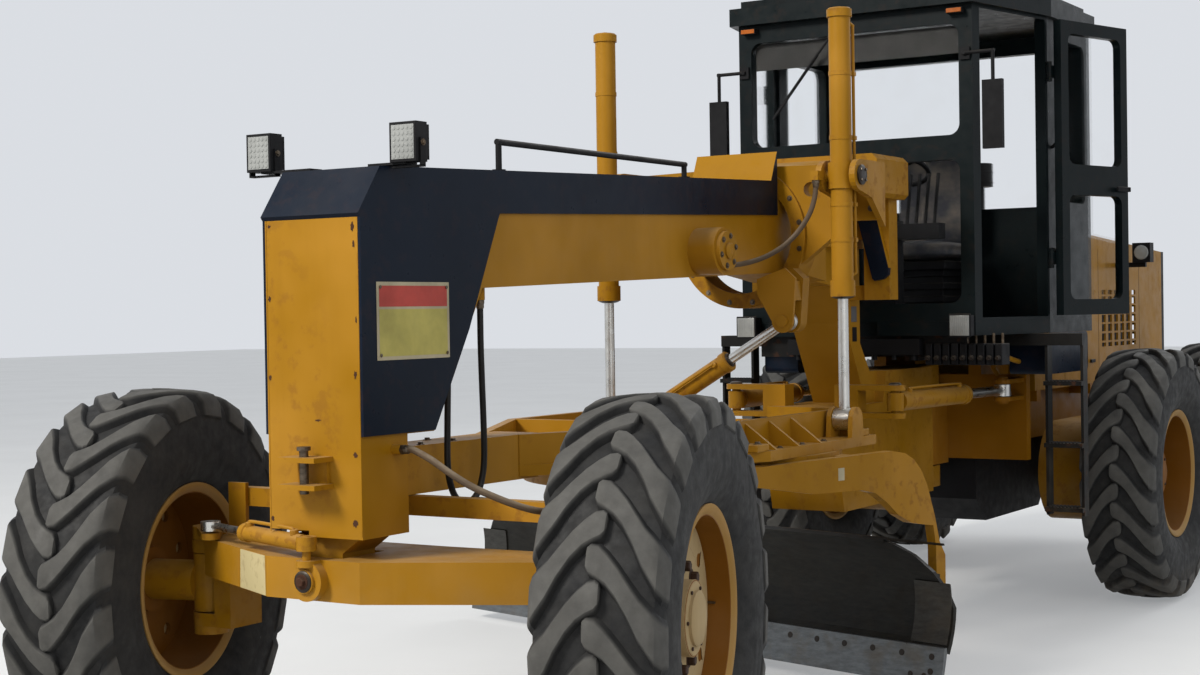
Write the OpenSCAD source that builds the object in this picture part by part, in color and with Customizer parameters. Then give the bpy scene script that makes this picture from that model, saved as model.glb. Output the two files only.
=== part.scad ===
// Motor grader, millimetres. X points to the machine's left, Y to its rear, Z up.
// Inside the modules Y counts from the front wheels' axle; place() moves all to the frame.

/* [Wheels] */
// Radius of a tyre over its lugs
tyre_r = 685; // [665:5:700]
// Width of a tyre over its sidewalls
tyre_w = 395; // [360:5:405]
// Radius of a rim's flange
rim_r = 346; // [330:2:360]
// Width of a rim between its flanges
rim_w = 300; // [270:5:310]
// Distance between the left and the right rear wheels' centres
track = 2030; // [2000:5:2080]
// Angle of the front wheels at rest, towards the machine's left
steer_rest = 14; // [0:1:20]

/* [Layout] */
// Front axle to the tandem's front wheels
wheelbase = 5385; // [5350:5:5450]
// Distance between the tandem's two wheels
tandem_pitch = 1525; // [1500:5:1560]
// Front axle to the pivot that joins the two frames
pivot_y = 4550; // [4530:5:4590]
// Kingpin's distance from the centre plane
king_x = 795; // [785:5:805]
// Kingpin to the middle of a front wheel
king_arm = 220; // [215:5:235]

/* [Front frame] */
// Width of the nose and of the beam
beam_w = 380; // [350:10:390]
// Front face of the nose, measured back from the front axle
nose_y = -350; // [-365:5:-340]
// Height of the nose's front edge at the top
nose_top = 1930; // [1900:5:1950]
// Thickness of the dark cover plates
cowl_t = 10; // [6:1:14]
// Back end of the dark cover plates
cowl_end = 2510; // [2470:10:2540]
// Height of the beam's underside over the front axle
beam_low = 1690; // [1670:5:1705]
// Outer radius of the lifter ring round the beam
ring_r = 318; // [314:2:324]
// Radial width of the lifter ring
ring_w = 66; // [60:1:70]
// Place of the lifter ring along the machine
ring_y = 2600; // [2595:5:2610]
// Place of the lift cylinders along the machine
lift_y = 2350; // [2340:5:2360]
// Distance of the lift cylinders from the centre plane
lift_x = 580; // [570:5:590]
// Height of the lift cylinders' trunnions
trunnion_z = 2170; // [2160:5:2190]

/* [Working tool] */
// Centre of the circle behind the front axle
circle_y = 1980; // [1970:5:1990]
// Outer radius of the circle's ring
circle_r = 670; // [655:5:675]
// Number of teeth inside the circle
circle_teeth = 64; // [56:4:72]
// Length of the blade
blade_len = 3050; // [2950:10:3100]
// Height of the blade with its cutting edge
blade_h = 580; // [560:5:590]
// Thickness of the blade's plate
blade_t = 20; // [16:1:24]
// Left end of the blade from the circle's centre, across the machine
blade_left = 880; // [860:10:900]
// Angle of the circle at rest: the blade's left end leads
circle_rest = 15; // [10:1:18]
// Height of the drawbar's ball over the ground
ball_z = 1100; // [1095:5:1110]

/* [Cab] */
// Half the cab's width at its front
cab_front_half = 635; // [620:5:645]
// Half the cab's width at the door's hinge and behind it
cab_half = 790; // [775:5:800]
// Front wall of the cab behind the front axle
cab_front = 3760; // [3750:5:3790]
// Door's hinge line behind the front axle
door_y = 4410; // [4395:5:4430]
// Back wall of the cab
cab_back = 5110; // [5080:5:5130]
// Top of the cab's floor
floor_z = 1540; // [1530:5:1550]
// Underside of the cab's roof
roof_z = 3080; // [3060:5:3100]
// Height of the roof's cap
roof_h = 130; // [110:5:150]
// Thickness of the cab's walls and posts
post = 60; // [52:2:66]
// Angle at which the left door stands open
door_open = 176; // [165:1:176]

/* [Rear] */
// Half the hood's width
hood_half = 440; // [420:5:450]
// Height of the hood at its front
hood_top = 2080; // [2050:5:2100]
// Back end of the hood
hood_back = 7800; // [7740:10:7840]
// Thickness of the hood's sheet
sheet = 12; // [8:1:16]
// Radius of the tandem cases' round ends
tandem_r = 275; // [260:5:285]

/* [Hidden] */

yellow = "#b8873a";
navy = "#1a2030";
cabin = "#1c2528";
black = "#22242a";
steel = "#8a8c90";
chromed = "#d0d2d6";
rubbery = "#3a3c3e";
glassy = [0.7, 0.8, 0.85, 0.4];

// Clearance at seats, running clearance in bores, and clearance past moving pieces
gap = 0.3;
run = 0.08;
free = 6;

beam_half = beam_w / 2;
tyre_side = tyre_w / 2;
bead_r = rim_r - 22;
wheel_z = tyre_r;
tandem_y = [wheelbase, wheelbase + tandem_pitch];
tail_y = hood_back + 150;
front_wheel = [king_x + king_arm * cos(steer_rest), king_arm * sin(steer_rest)];
tyre_reach = tyre_r * cos(steer_rest) + (tyre_side - 70) * sin(steer_rest);
tyre_spread = (tyre_side - 8) * cos(steer_rest) + (tyre_r - 60) * sin(steer_rest);

// Blade's section in the circle's plane: Y back from the circle's centre
edge_low = 50;
edge_y = 610;
face_low = [640, 190];
face_top = [612, edge_low + blade_h];
face_sag = 62;
tilt_pin = [800, 262];
blade_right = blade_left - blade_len;

function turned(v, a) = [v[0] * cos(a) - v[1] * sin(a), v[0] * sin(a) + v[1] * cos(a)];
function circle_point(x, y) = [0, circle_y] + turned([x, y], -circle_rest);
frame_x = -(front_wheel[0] + tyre_spread + circle_point(blade_right, edge_y - 17)[0]) / 2;
frame_y = -(tail_y + 30 - front_wheel[1] - tyre_reach) / 2;

function arc(c, r, a0, a1, n = 8) =
    [for (i = [0:n]) let (a = a0 + (a1 - a0) * i / n) [c[0] + r * cos(a), c[1] + r * sin(a)]];
function p3(v, z) = [v[0], v[1], z];

module place() translate([frame_x, frame_y, 0]) children();

module both() {
    children();
    mirror([1, 0, 0]) children();
}

module extrude_x(x0, x1)
    translate([x0, 0, 0]) rotate([90, 0, 90]) linear_extrude(x1 - x0) children();

module extrude_y(y0, y1)
    translate([0, y1, 0]) rotate([90, 0, 0]) linear_extrude(y1 - y0) children();

module extrude_z(z0, z1)
    translate([0, 0, z0]) linear_extrude(z1 - z0) children();

module block(x, y, z)
    translate([x[0], y[0], z[0]]) cube([x[1] - x[0], y[1] - y[0], z[1] - z[0]]);

module along(p, q) {
    v = q - p;
    translate(p) rotate([0, acos(v[2] / norm(v)), atan2(v[1], v[0])]) children();
}

module bar(p, q, r) along(p, q) cylinder(h = norm(q - p), r = r, $fn = 48);

module round_x(x0, x1, y, z, r)
    translate([x0, y, z]) rotate([0, 90, 0]) cylinder(h = x1 - x0, r = r, $fn = 64);

module round_y(x, y0, y1, z, r)
    translate([x, y0, z]) rotate([-90, 0, 0]) cylinder(h = y1 - y0, r = r, $fn = 64);

module round_z(x, y, z0, z1, r)
    translate([x, y, z0]) cylinder(h = z1 - z0, r = r, $fn = 64);

// Rectangle with round corners, its low corner at p
module soft_rect(p, w, h, r) translate(p) {
    translate([r, 0]) square([w - 2 * r, h]);
    translate([0, r]) square([w, h - 2 * r]);
    for (dx = [r, w - r]) for (dy = [r, h - r]) translate([dx, dy]) circle(r, $fn = 32);
}

// Wheels
crown = 70;
module tyre() color(rubbery) rotate([0, 90, 0]) rotate_extrude($fn = 96) polygon([
    [bead_r, -rim_w / 2 + 16], [rim_r + gap, -rim_w / 2 + 8.6], [rim_r + 1, -rim_w / 2],
    [rim_r + 30, -tyre_side + 22], [(rim_r + tyre_r) / 2, -tyre_side],
    [tyre_r - 60, -tyre_side + 8], [tyre_r - 18, -tyre_side + 28], [tyre_r, -tyre_side + crown],
    [tyre_r, tyre_side - crown], [tyre_r - 18, tyre_side - 28], [tyre_r - 60, tyre_side - 8],
    [(rim_r + tyre_r) / 2, tyre_side], [rim_r + 30, tyre_side - 22], [rim_r + 1, rim_w / 2],
    [rim_r + gap, rim_w / 2 - 8.6], [bead_r, rim_w / 2 - 16]]);

// Rim with its disc and hub; places are counted outwards from the wheel's middle
module rim(disc_x, hub_r, hub_in, hub_out, bore_r, bore_end) color(yellow) {
    half = rim_w / 2;
    rotate([0, 90, 0]) difference() {
        union() {
            rotate_extrude($fn = 96) polygon([[bead_r - 14, -half + 6], [rim_r, -half - 6],
                [rim_r, -half + 8], [bead_r - gap, -half + 15], [bead_r - gap, half - 15],
                [rim_r, half - 8], [rim_r, half + 6], [bead_r - 14, half - 6]]);
            translate([0, 0, disc_x]) cylinder(h = 16, r = bead_r - 8, $fn = 96);
            translate([0, 0, hub_in]) cylinder(h = hub_out - hub_in, r = hub_r, $fn = 96);
        }
        for (a = [0:36:324]) rotate([0, 0, a]) translate([bead_r - 70, 0, disc_x - 1])
            cylinder(h = 18, r = 22, $fn = 24);
        translate([0, 0, hub_in - 1]) cylinder(h = bore_end - hub_in + 1, r = bore_r, $fn = 64);
    }
}

module rear_wheel_place(side, k)
    translate([side * track / 2, tandem_y[k], wheel_z]) rotate([0, 0, side > 0 ? 0 : 180]) children();

module front_wheel_place(side)
    translate([side * king_x, 0, wheel_z]) rotate([0, 0, steer_rest + (side > 0 ? 0 : 180)])
        translate([king_arm, 0, 0]) children();

spindle_r = 58;
front_spindle_r = 42;
module rear_rim() rim(-40, 125, -tyre_side - 18, 60, spindle_r + run, 42);
module front_rim() rim(52, 115, 10, 112, front_spindle_r + run, 98);

module tyre_left_mid() rear_wheel_place(1, 0) tyre();
module tyre_left_back() rear_wheel_place(1, 1) tyre();
module tyre_right_mid() rear_wheel_place(-1, 0) tyre();
module tyre_right_back() rear_wheel_place(-1, 1) tyre();
module rim_left_mid() rear_wheel_place(1, 0) rear_rim();
module rim_left_back() rear_wheel_place(1, 1) rear_rim();
module rim_right_mid() rear_wheel_place(-1, 0) rear_rim();
module rim_right_back() rear_wheel_place(-1, 1) rear_rim();
module tyre_left_front() front_wheel_place(1) tyre();
module tyre_right_front() front_wheel_place(-1) tyre();
module rim_left_front() front_wheel_place(1) front_rim();
module rim_right_front() front_wheel_place(-1) front_rim();

// Front frame: nose, beam, leg and hinge lugs
nose_low = 920;
column_back = -120;
haunch_z = 1235;
beam_rise = 0.035;
leg_back = 3500;
leg_half = 142;
leg_low = 3150;
shelf_z = 1145;
box_top = 1300;
box_low = 650;
box_end = pivot_y - 250;
lug_t = 110;
lug_r = 120;
pin_r = 50;
drop_top = 2325;
head_x = 420;
head_y = [3090, 3460];
head_z = 2125;
chamfer = [100, 140];
axle_z = 788;
axle_pin_r = 38;
tow_z = 1075;
tow_r = 16;
ball_y = -10;
ball_r = 55;
turn_base = [420, 3270];
turn_eye = [500, pivot_y - 50];
turn_z = 1170;
turn_pin = 22;

function beam_top(y) = nose_top + chamfer[1] + beam_rise * (y - nose_y - chamfer[0]);
function beam_under(y) = beam_low + 0.033 * y;

module frame_side() polygon(concat(
    [[nose_y, nose_low], [nose_y, nose_top], [nose_y + chamfer[0], beam_top(nose_y + chamfer[0])]],
    [[2690, beam_top(2690)], [2790, 2245], [head_y[0], drop_top - 20]],
    arc([leg_back - 90, drop_top - 90], 90, 80, 0, 6),
    [[leg_back, 1440], [leg_back + 110, box_top], [box_end, box_top], [box_end, box_low],
     [leg_low + 40, box_low], [leg_low, 800], [leg_low, shelf_z], [3560, shelf_z], [3330, 1540],
     [3180, 1720], [2700, beam_under(2700)],
     [300, beam_under(300)], [215, 1560], [20, haunch_z], [column_back, haunch_z],
     [column_back, nose_low]]));

// The leg between the beam and the hinge box is narrower than both
module leg_cut() both() extrude_x(leg_half, beam_half + 1) polygon([[3020, 1600], [3020, 1900],
    [3700, 1900], [3700, box_top + 1], [3660, shelf_z + 1], [3200, shelf_z + 1]]);

// Cross head over the leg, on two posts
module leg_head() {
    extrude_y(head_y[0], head_y[1]) polygon([[-head_x, head_z + 20], [-head_x, drop_top - 25],
        [-head_x + 25, drop_top], [head_x - 25, drop_top], [head_x, drop_top - 25],
        [head_x, head_z + 20], [head_x - 20, head_z], [-head_x + 20, head_z]]);
    both() {
        block([235, 365], [3350, 3450], [1650, head_z + 5]);
        block([leg_half - 5, 365], [3380, 3430], [1650, 1720]);
        block([beam_half - 5, 240], [3360, 3440], [1940, 2060]);
    }
}

module front_frame() color(yellow) {
    difference() {
        union() {
            difference() {
                extrude_x(-beam_half, beam_half) frame_side();
                leg_cut();
            }
            leg_head();
            round_x(beam_half - 2, beam_half + 120, 1810, 1852, 96);
            round_x(beam_half + 100, beam_half + 138, 1810, 1852, 80);
            block([beam_half - 5, hose_a[0][0] + 16], [hose_a[0][1] - 55, hose_a[0][1]],
                [hose_a[0][2] - 18, hose_a[0][2] + 18]);
            round_z(hose_b[0][0], hose_b[0][1], hose_b[0][2], hose_b[0][2] + 60, 17);
            round_z(b_end[0], b_end[1], b_end[2], b_end[2] + 50, 17);
            round_x(beam_half - 5, hose_c[0][0], hose_c[0][1], hose_c[0][2], 17);
            extrude_y(nose_y + 50, column_back - 20) polygon([[-beam_half + 40, nose_low + 5],
                [beam_half - 40, nose_low + 5], [65, nose_low - 55], [65, axle_z - 55],
                [-65, axle_z - 55], [-65, nose_low - 55]]);
            for (z = [box_low, box_top - lug_t]) extrude_z(z, z + lug_t) {
                translate([-lug_r, box_end - 20]) square([2 * lug_r, pivot_y - box_end + 20]);
                translate([0, pivot_y]) circle(lug_r, $fn = 64);
            }
            for (z = [tow_z, tow_z + 85]) block([-75, 75], [nose_y - 90, nose_y + 5], [z, z + 16]);
            block([-60, 60], [nose_y - 12, nose_y + 5], [tow_z, tow_z + 100]);
            both() for (z = [turn_z - 78, turn_z + 53]) extrude_z(z, z + 25) {
                translate(turn_base) circle(48, $fn = 48);
                translate([beam_half - 60, turn_base[1] - 48])
                    square([turn_base[0] - beam_half + 60, 96]);
            }
            both() block([beam_half - 60, beam_half + 60], [turn_base[1] - 48, turn_base[1] + 48],
                [turn_z - 78, turn_z + 78]);
            block([-60, 60], [column_back - 10, ball_y - 62], [ball_z - 70, ball_z + 70]);
        }
        round_z(0, pivot_y, box_low - 1, box_top + 1, pin_r + run);
        round_z(0, nose_y - 50, tow_z - 1, tow_z + 110, tow_r);
        round_y(0, nose_y, column_back, axle_z, axle_pin_r + gap);
        block([-beam_half - 1, -28], [nose_y - 1, nose_y + 95], [nose_low - 1, steer_z + 34]);
    }
    both() round_z(turn_base[0], turn_base[1], turn_z - 77, turn_z + 77, turn_pin);
    round_y(0, ball_y - 70, ball_y - 40, ball_z, 30);
    translate([0, ball_y, ball_z]) sphere(r = ball_r, $fn = 64);
}

// Dark cover plates on the nose and the beam
module nose_cowl() color(navy) {
    cowl();
    extrude_y(3322, 3350 - gap) polygon([[215, 2100], [285, 2105], [300, 2095], [372, 1800],
        [368, 1768], [345, 1748], [300, 1740], [288, 1750], [205, 2080]]);
}

module cowl() difference() {
    extrude_x(-beam_half - cowl_t, beam_half + cowl_t) polygon([[nose_y, haunch_z + 4],
        [15, haunch_z + 4], [210, 1565], [395, 1955], [cowl_end, beam_top(cowl_end) - 140],
        [cowl_end, drop_top - 20], [cowl_end - 60, beam_top(cowl_end - 60) + cowl_t],
        [nose_y + chamfer[0], beam_top(nose_y + chamfer[0]) + cowl_t],
        [nose_y - cowl_t, nose_top], [nose_y, nose_top - 12]]);
    extrude_x(-beam_half, beam_half) polygon([[nose_y - 20, nose_low], [nose_y - 20, nose_top - 14],
        [nose_y, nose_top - 14], [nose_y, nose_top],
        [nose_y + chamfer[0], beam_top(nose_y + chamfer[0])], [cowl_end - 60, beam_top(cowl_end - 60)],
        [cowl_end + 110, drop_top - 15], [cowl_end + 110, nose_low]]);
}

// Ring round the beam with the forks that hold the lift cylinders
ring_z = 1936;
ring_half = 65;
fork_high = 2236;
fork_in = lift_x - 90;
fork_out = lift_x + 90;
ear_t = 26;
trunnion_r = 25;
shift_y = 2450;
shift_top = [270, 1560];
shift_low = [-430, 1145];
lift_r = 46;

module beam_space() extrude_y(ring_y - ring_half - 40, ring_y + ring_half + 1)
    polygon([[-beam_half - gap, beam_under(ring_y) - 3], [beam_half + gap, beam_under(ring_y) - 3],
        [beam_half + gap, beam_top(ring_y) + 3], [-beam_half - gap, beam_top(ring_y) + 3]]);

module fork_ear(x) extrude_x(x, x + ear_t) polygon(concat([[ring_y, fork_high]],
    arc([lift_y, trunnion_z], fork_high - trunnion_z, 90, 270, 12),
    [[lift_y + 110, trunnion_z - 90], [ring_y, trunnion_z - 210]]));

module lifter_yoke() color(yellow) difference() {
    union() {
        round_y(0, ring_y - ring_half, ring_y + ring_half, ring_z, ring_r);
        both() {
            extrude_y(ring_y - 50, ring_y) polygon([[60, ring_z + ring_r - 8],
                [fork_in + 5, fork_high], [fork_in + 5, trunnion_z - 210], [ring_r - 30, ring_z - 130]]);
            for (x = [fork_in, fork_out - ear_t]) fork_ear(x);
            block([fork_in, fork_out], [ring_y - 40, ring_y], [trunnion_z - 180, fork_high]);
        }
        block([485, 521], [a_end[1] - 17, lift_y - 60], [a_end[2] + 2 * gap, a_end[2] + 40]);
        for (y = [shift_y - 52, shift_y + 28]) extrude_y(y, y > shift_y ? ring_y - ring_half + 5 : y + 16)
            shift_ear();
        extrude_y(shift_y - 52, shift_y + 30) polygon([[215, 1640], [215, 1700], [320, 1735], [325, 1650]]);
        for (y = [shift_y - 62, shift_y + 44]) round_y(shift_top[0], y, y + 10, shift_top[1], 26);
    }
    round_y(0, ring_y - ring_half - 1, ring_y + ring_half + 1, ring_z, ring_r - ring_w);
    beam_space();
    both() round_x(fork_in - 1, fork_out + 1, lift_y, trunnion_z, trunnion_r + run);
    both() round_y(340, ring_y - 60, ring_y + 10, trunnion_z - 35, 32);
}

// Plate that holds the eye of the cylinder that swings the drawbar
module shift_ear() {
    polygon([[150, 1680], [150, 1745], [285, 1790], [335, 1745], [shift_top[0] + 50, shift_top[1]],
        [shift_top[0] - 50, shift_top[1]]]);
    translate(shift_top) circle(50, $fn = 48);
}

// Work lamps on flat arms and the hand rail on the beam
module lamps_and_rail() color(black) {
    rail_y = [450, 1750];
    rail_x = beam_half - 30;
    rail_z = beam_top(rail_y[1]) + cowl_t + 55;
    lamp_z = nose_top + 190;
    arm_y = nose_y + 170;
    arm_z = beam_top(arm_y + 30) + cowl_t;
    for (lamp_x = [270, -330]) {
        block([min(sign(lamp_x) * 120, lamp_x), max(sign(lamp_x) * 120, lamp_x)],
            [arm_y - 30, arm_y + 30], [arm_z, arm_z + 8]);
        block([lamp_x - 12, lamp_x + 12], [arm_y - 15, arm_y + 15], [arm_z + 4, lamp_z - 28]);
        block([lamp_x - 52, lamp_x + 52], [arm_y - 40, arm_y + 15], [lamp_z - 30, lamp_z + 95]);
    }
    for (y = rail_y) bar([rail_x, y, beam_top(y) + cowl_t + gap], [rail_x, y, rail_z + 6], 11);
    bar([rail_x, rail_y[0] - 11, rail_z], [rail_x, rail_y[1] + 11, rail_z], 11);
}

// Hoses: from the beam to the left fork, a loop behind the nose, and one to the axle
hose_r = 11;
hose_a = [[212, 1930, 1800], [212, 1955, 1800], [212, 1980, 1800], [217, 2030, 1800], [236, 2084, 1804],
    [270, 2134, 1816], [316, 2176, 1838], [366, 2208, 1872], [412, 2232, 1916], [450, 2247, 1966],
    [480, 2256, 2020], [497, 2261, 2076], [503, 2262, 2123], [503, 2262, 2150]];
hose_b = [[150, 150, 1420], [150, 150, 1395], [150, 150, 1370], [150, 145, 1250], [150, 142, 1130],
    [150, 152, 1060], [150, 184, 1002], [150, 245, 975], [150, 306, 1002], [150, 338, 1060],
    [150, 350, 1130], [150, 349, 1250], [150, 344, 1380], [150, 340, 1510],
    [150, 340, 1610], [150, 340, 1635], [150, 340, 1660]];
hose_c = [[222, -190, 1190], [244, -190, 1190], [266, -190, 1190], [335, -187, 1160], [400, -178, 1120],
    [470, -162, 1080], [540, -138, 1048], [600, -110, 1023], [645, -78, 1006],
    [665, -44, 1000], [665, -28, 1000], [665, -12, 1000]];
a_end = hose_a[len(hose_a) - 1];
b_end = hose_b[len(hose_b) - 1];
c_end = hose_c[len(hose_c) - 1];

function unit(v) = v / norm(v);
function line_dir(c, i) = unit(c[min(i + 1, len(c) - 1)] - c[max(i - 1, 0)]);
function curve(c, i, f) = let (a = c[max(i - 1, 0)], b = c[i], d = c[i + 1],
    e = c[min(i + 2, len(c) - 1)], u = (d - a) / 2, w = (e - b) / 2)
    b + u * f + (3 * (d - b) - 2 * u - w) * f * f + (2 * (b - d) + u + w) * f * f * f;
function refine(c) = concat([for (i = [0:len(c) - 2]) for (f = [0, 0.5]) curve(c, i, f)],
    [c[len(c) - 1]]);
module hose(c, side) {
    n = 10;
    m = len(c);
    polyhedron(points = [for (i = [0:m - 1]) let (d = line_dir(c, i), u = unit(cross(d, side)),
            w = cross(d, u)) for (k = [0:n - 1]) c[i] + hose_r * (u * cos(36 * k) + w * sin(36 * k))],
        faces = concat([[for (k = [0:n - 1]) k]], [[for (k = [n - 1:-1:0]) (m - 1) * n + k]],
            [for (i = [0:m - 2]) for (k = [0:n - 1]) [i * n + k, (i + 1) * n + k,
                (i + 1) * n + (k + 1) % n]],
            [for (i = [0:m - 2]) for (k = [0:n - 1]) [i * n + k, (i + 1) * n + (k + 1) % n,
                i * n + (k + 1) % n]]));
}
module hose_beam() color(black) hose(refine(hose_a), [1, 0, 0]);
module hose_loop() color(black) hose(refine(hose_b), [1, 0, 0]);
module hose_axle() color(black) hose(refine(hose_c), [0, 0, 1]);

// Front axle beam with its centre pin, its kingpin forks and the bar that leans the wheels
axle_h = 130;
axle_low = axle_z - axle_h / 2;
axle_high = axle_z + axle_h / 2;
axle_front = nose_y - 20;
axle_back = 70;
king_half = 105;
king_r = 32;
king_plate_t = 45;
king_high = wheel_z + king_half + king_plate_t;
king_low = wheel_z - king_half - king_plate_t;
fork_x = king_x - 75;
steer_base = [0, nose_y - 45];
steer_z = 905;
lean_z = 985;
lean_y = 60;

module axle_plan() polygon([[-fork_x, -105], [-190, axle_front], [190, axle_front], [fork_x, -105],
    [fork_x, 95], [200, axle_back], [-200, axle_back], [-fork_x, 95]]);

module king_plate() {
    translate([king_x, 0]) circle(62, $fn = 48);
    translate([fork_x - 70, -62]) square([king_x - fork_x + 70, 124]);
}

module front_axle() color(yellow) {
    difference() {
        union() {
            extrude_z(axle_low, axle_high) axle_plan();
            both() {
                extrude_z(king_low, king_low + king_plate_t) king_plate();
                extrude_z(king_high - king_plate_t, king_high) king_plate();
                block([fork_x - 75, fork_x], [-62, 95], [king_low, king_high]);
                block([fork_x - 80, fork_x], [lean_y - 42, lean_y - 26], [axle_high, lean_z + 50]);
            }
            round_y(c_end[0], c_end[1], lean_y - 40, c_end[2], 17);
            extrude_z(axle_high - 20, axle_high) translate(steer_base) circle(34, $fn = 48);
            extrude_z(axle_high - 20, axle_high) translate([-34, axle_front - 30]) square([68, 40]);
        }
        block([-80, 80], [nose_y + 30, column_back + 10], [axle_low - 1, axle_high + 1]);
        round_y(0, axle_front - 1, axle_back + 1, axle_z, axle_pin_r + gap);
        both() round_z(king_x, 0, king_low - 1, king_high + 1, king_r + run);
    }
    round_y(0, axle_front - 44, axle_back - 40, axle_z, axle_pin_r);
    difference() {
        round_y(0, axle_front - 34, axle_front, axle_z, 64);
        round_y(0, axle_front - 35, axle_front + 1, axle_z, axle_pin_r - 2);
    }
    round_z(steer_base[0], steer_base[1], axle_high - 5, steer_z + 24, 14);
    both() round_y(fork_x - 35, lean_y - 30, lean_y + 30, lean_z, 16);
}

module lean_linkage() color(yellow) difference() {
    block([-fork_x + 5, fork_x - 5], [lean_y - 25, lean_y + 25], [lean_z - 32, lean_z + 32]);
    both() round_y(fork_x - 35, lean_y - 26, lean_y + 26, lean_z, 16 + gap);
}

// Knuckles: kingpin, spindle, arm to the cylinder and arm to the tie rod
tie_arm = [0, 300];
eye_arm = [-120, -200];
tie_z = 700;

module knuckle(side) color(yellow) {
    round_z(0, 0, wheel_z - king_half + 4, wheel_z + king_half - 4, 58);
    round_z(0, 0, king_low - 2, king_high + 2, king_r);
    rotate([0, 0, side > 0 ? 0 : 180]) {
        round_x(0, king_arm + 96, 0, wheel_z, front_spindle_r);
        round_x(40, king_arm + 8, 0, wheel_z, 72);
    }
    extrude_z(king_low - 32, king_low - 1) {
        circle(60, $fn = 48);
        tapered_arm([0, 0], 48, [side * tie_arm[0], tie_arm[1]], 30);
    }
    round_z(side * tie_arm[0], tie_arm[1], king_low - 32, tie_z - 27, 30);
    round_z(side * tie_arm[0], tie_arm[1], tie_z - 28, tie_z + 28, 14);
}

// Flat arm between two round ends
module tapered_arm(p, rp, q, rq) {
    v = q - p;
    a = atan2(v[1], v[0]) + 90;
    n = [cos(a), sin(a)];
    polygon([p + n * rp, q + n * rq, q - n * rq, p - n * rp]);
    translate(p) circle(rp, $fn = 48);
    translate(q) circle(rq, $fn = 48);
}

module knuckle_left() translate([king_x, 0, 0]) rotate([0, 0, steer_rest]) knuckle(1);

module knuckle_right() translate([-king_x, 0, 0]) rotate([0, 0, steer_rest]) {
    knuckle(-1);
    color(yellow) round_z(0, 0, king_high + 1, king_high + 46, 60);
    color(yellow) extrude_z(king_high + 24, king_high + 46)
        tapered_arm([0, 0], 48, [-eye_arm[0], eye_arm[1]], 32);
}

tie_l = [king_x, 0] + turned(tie_arm, steer_rest);
tie_r = [-king_x, 0] + turned([-tie_arm[0], tie_arm[1]], steer_rest);

module tie_rod() color(yellow) difference() {
    union() {
        bar(p3(tie_l, tie_z), p3(tie_r, tie_z), 22);
        for (p = [tie_l, tie_r]) round_z(p[0], p[1], tie_z - 26, tie_z + 26, 32);
    }
    for (p = [tie_l, tie_r]) round_z(p[0], p[1], tie_z - 27, tie_z + 27, 14 + run);
}

// A cylinder's barrel from its base eye p towards q, and its rod up to the eye q
module barrel(p, q, length, r, bore, pin, eye_half) color(yellow) difference() {
    union() {
        along(p, q) translate([0, 0, pin + 8]) cylinder(h = length - pin - 8, r = r, $fn = 64);
        translate([0, 0, -eye_half] + p) cylinder(h = 2 * eye_half, r = pin + 18, $fn = 48);
    }
    along(p, q) translate([0, 0, pin + 40]) cylinder(h = length, r = bore, $fn = 64);
    translate([0, 0, -eye_half - 1] + p) cylinder(h = 2 * eye_half + 2, r = pin + run, $fn = 48);
}

module rod(p, q, from, r, eye_r, eye_half) color(chromed) {
    along(p, q) translate([0, 0, from]) cylinder(h = norm(q - p) - from, r = r, $fn = 64);
    translate([0, 0, -eye_half] + q) cylinder(h = 2 * eye_half, r = eye_r, $fn = 48);
}

eye_r = [-king_x, 0] + turned([-eye_arm[0], eye_arm[1]], steer_rest);
steer_tube = 420;
steer_rod_r = 14;
module steer_barrel() barrel(p3(steer_base, steer_z), p3(eye_r, steer_z), steer_tube, 26, steer_rod_r + run, 14, 22);
module steer_rod() rod(p3(steer_base, steer_z), p3(eye_r, steer_z), 110, steer_rod_r, 34, 16);

// Cylinders that bend the machine at its pivot
turn_rod_r = 25;
turn_tube = 760;
turn_rod_from = 420;
module turn_barrel(side) barrel([side * turn_base[0], turn_base[1], turn_z],
    [side * turn_eye[0], turn_eye[1], turn_z], turn_tube, 46, turn_rod_r + run, turn_pin, 42);
module turn_rod(side) rod([side * turn_base[0], turn_base[1], turn_z],
    [side * turn_eye[0], turn_eye[1], turn_z], turn_rod_from, turn_rod_r, 44, 30);
module turn_barrel_left() turn_barrel(1);
module turn_rod_left() turn_rod(1);
module turn_barrel_right() turn_barrel(-1);
module turn_rod_right() turn_rod(-1);

// Lift cylinders
lift_rod_r = 22;
lift_low = ball_z + 45;
lift_top_z = trunnion_z + 690;
lift_end_z = trunnion_z - 500;
lift_eye_half = 36;

module lift_barrels() color(yellow) both() difference() {
    union() {
        round_z(lift_x, lift_y, lift_end_z, lift_top_z, lift_r);
        round_z(lift_x, lift_y, lift_end_z - 8, lift_end_z + 60, lift_r + 7);
        round_z(lift_x, lift_y, trunnion_z - 55, trunnion_z + 55, lift_r + 10);
        round_z(lift_x, lift_y, lift_top_z - 24, lift_top_z + 8, lift_r + 7);
        round_x(fork_in + 2, fork_out - 2, lift_y, trunnion_z, trunnion_r);
    }
    round_z(lift_x, lift_y, lift_end_z - 9, lift_top_z - 40, lift_rod_r + run);
}

module lift_rods() color(chromed) both() difference() {
    union() {
        round_z(lift_x, lift_y, lift_low, lift_end_z + 150, lift_rod_r);
        round_x(lift_x - lift_eye_half, lift_x + lift_eye_half, lift_y, lift_low, 48);
    }
    round_x(lift_x - lift_eye_half - 1, lift_x + lift_eye_half + 1, lift_y, lift_low, 30);
}

// Cylinder that swings the drawbar sideways
shift_a = [shift_low[0], shift_y, shift_low[1]];
shift_b = [shift_top[0], shift_y, shift_top[1]];
shift_rod_r = 22;
shift_pin = 20;

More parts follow.
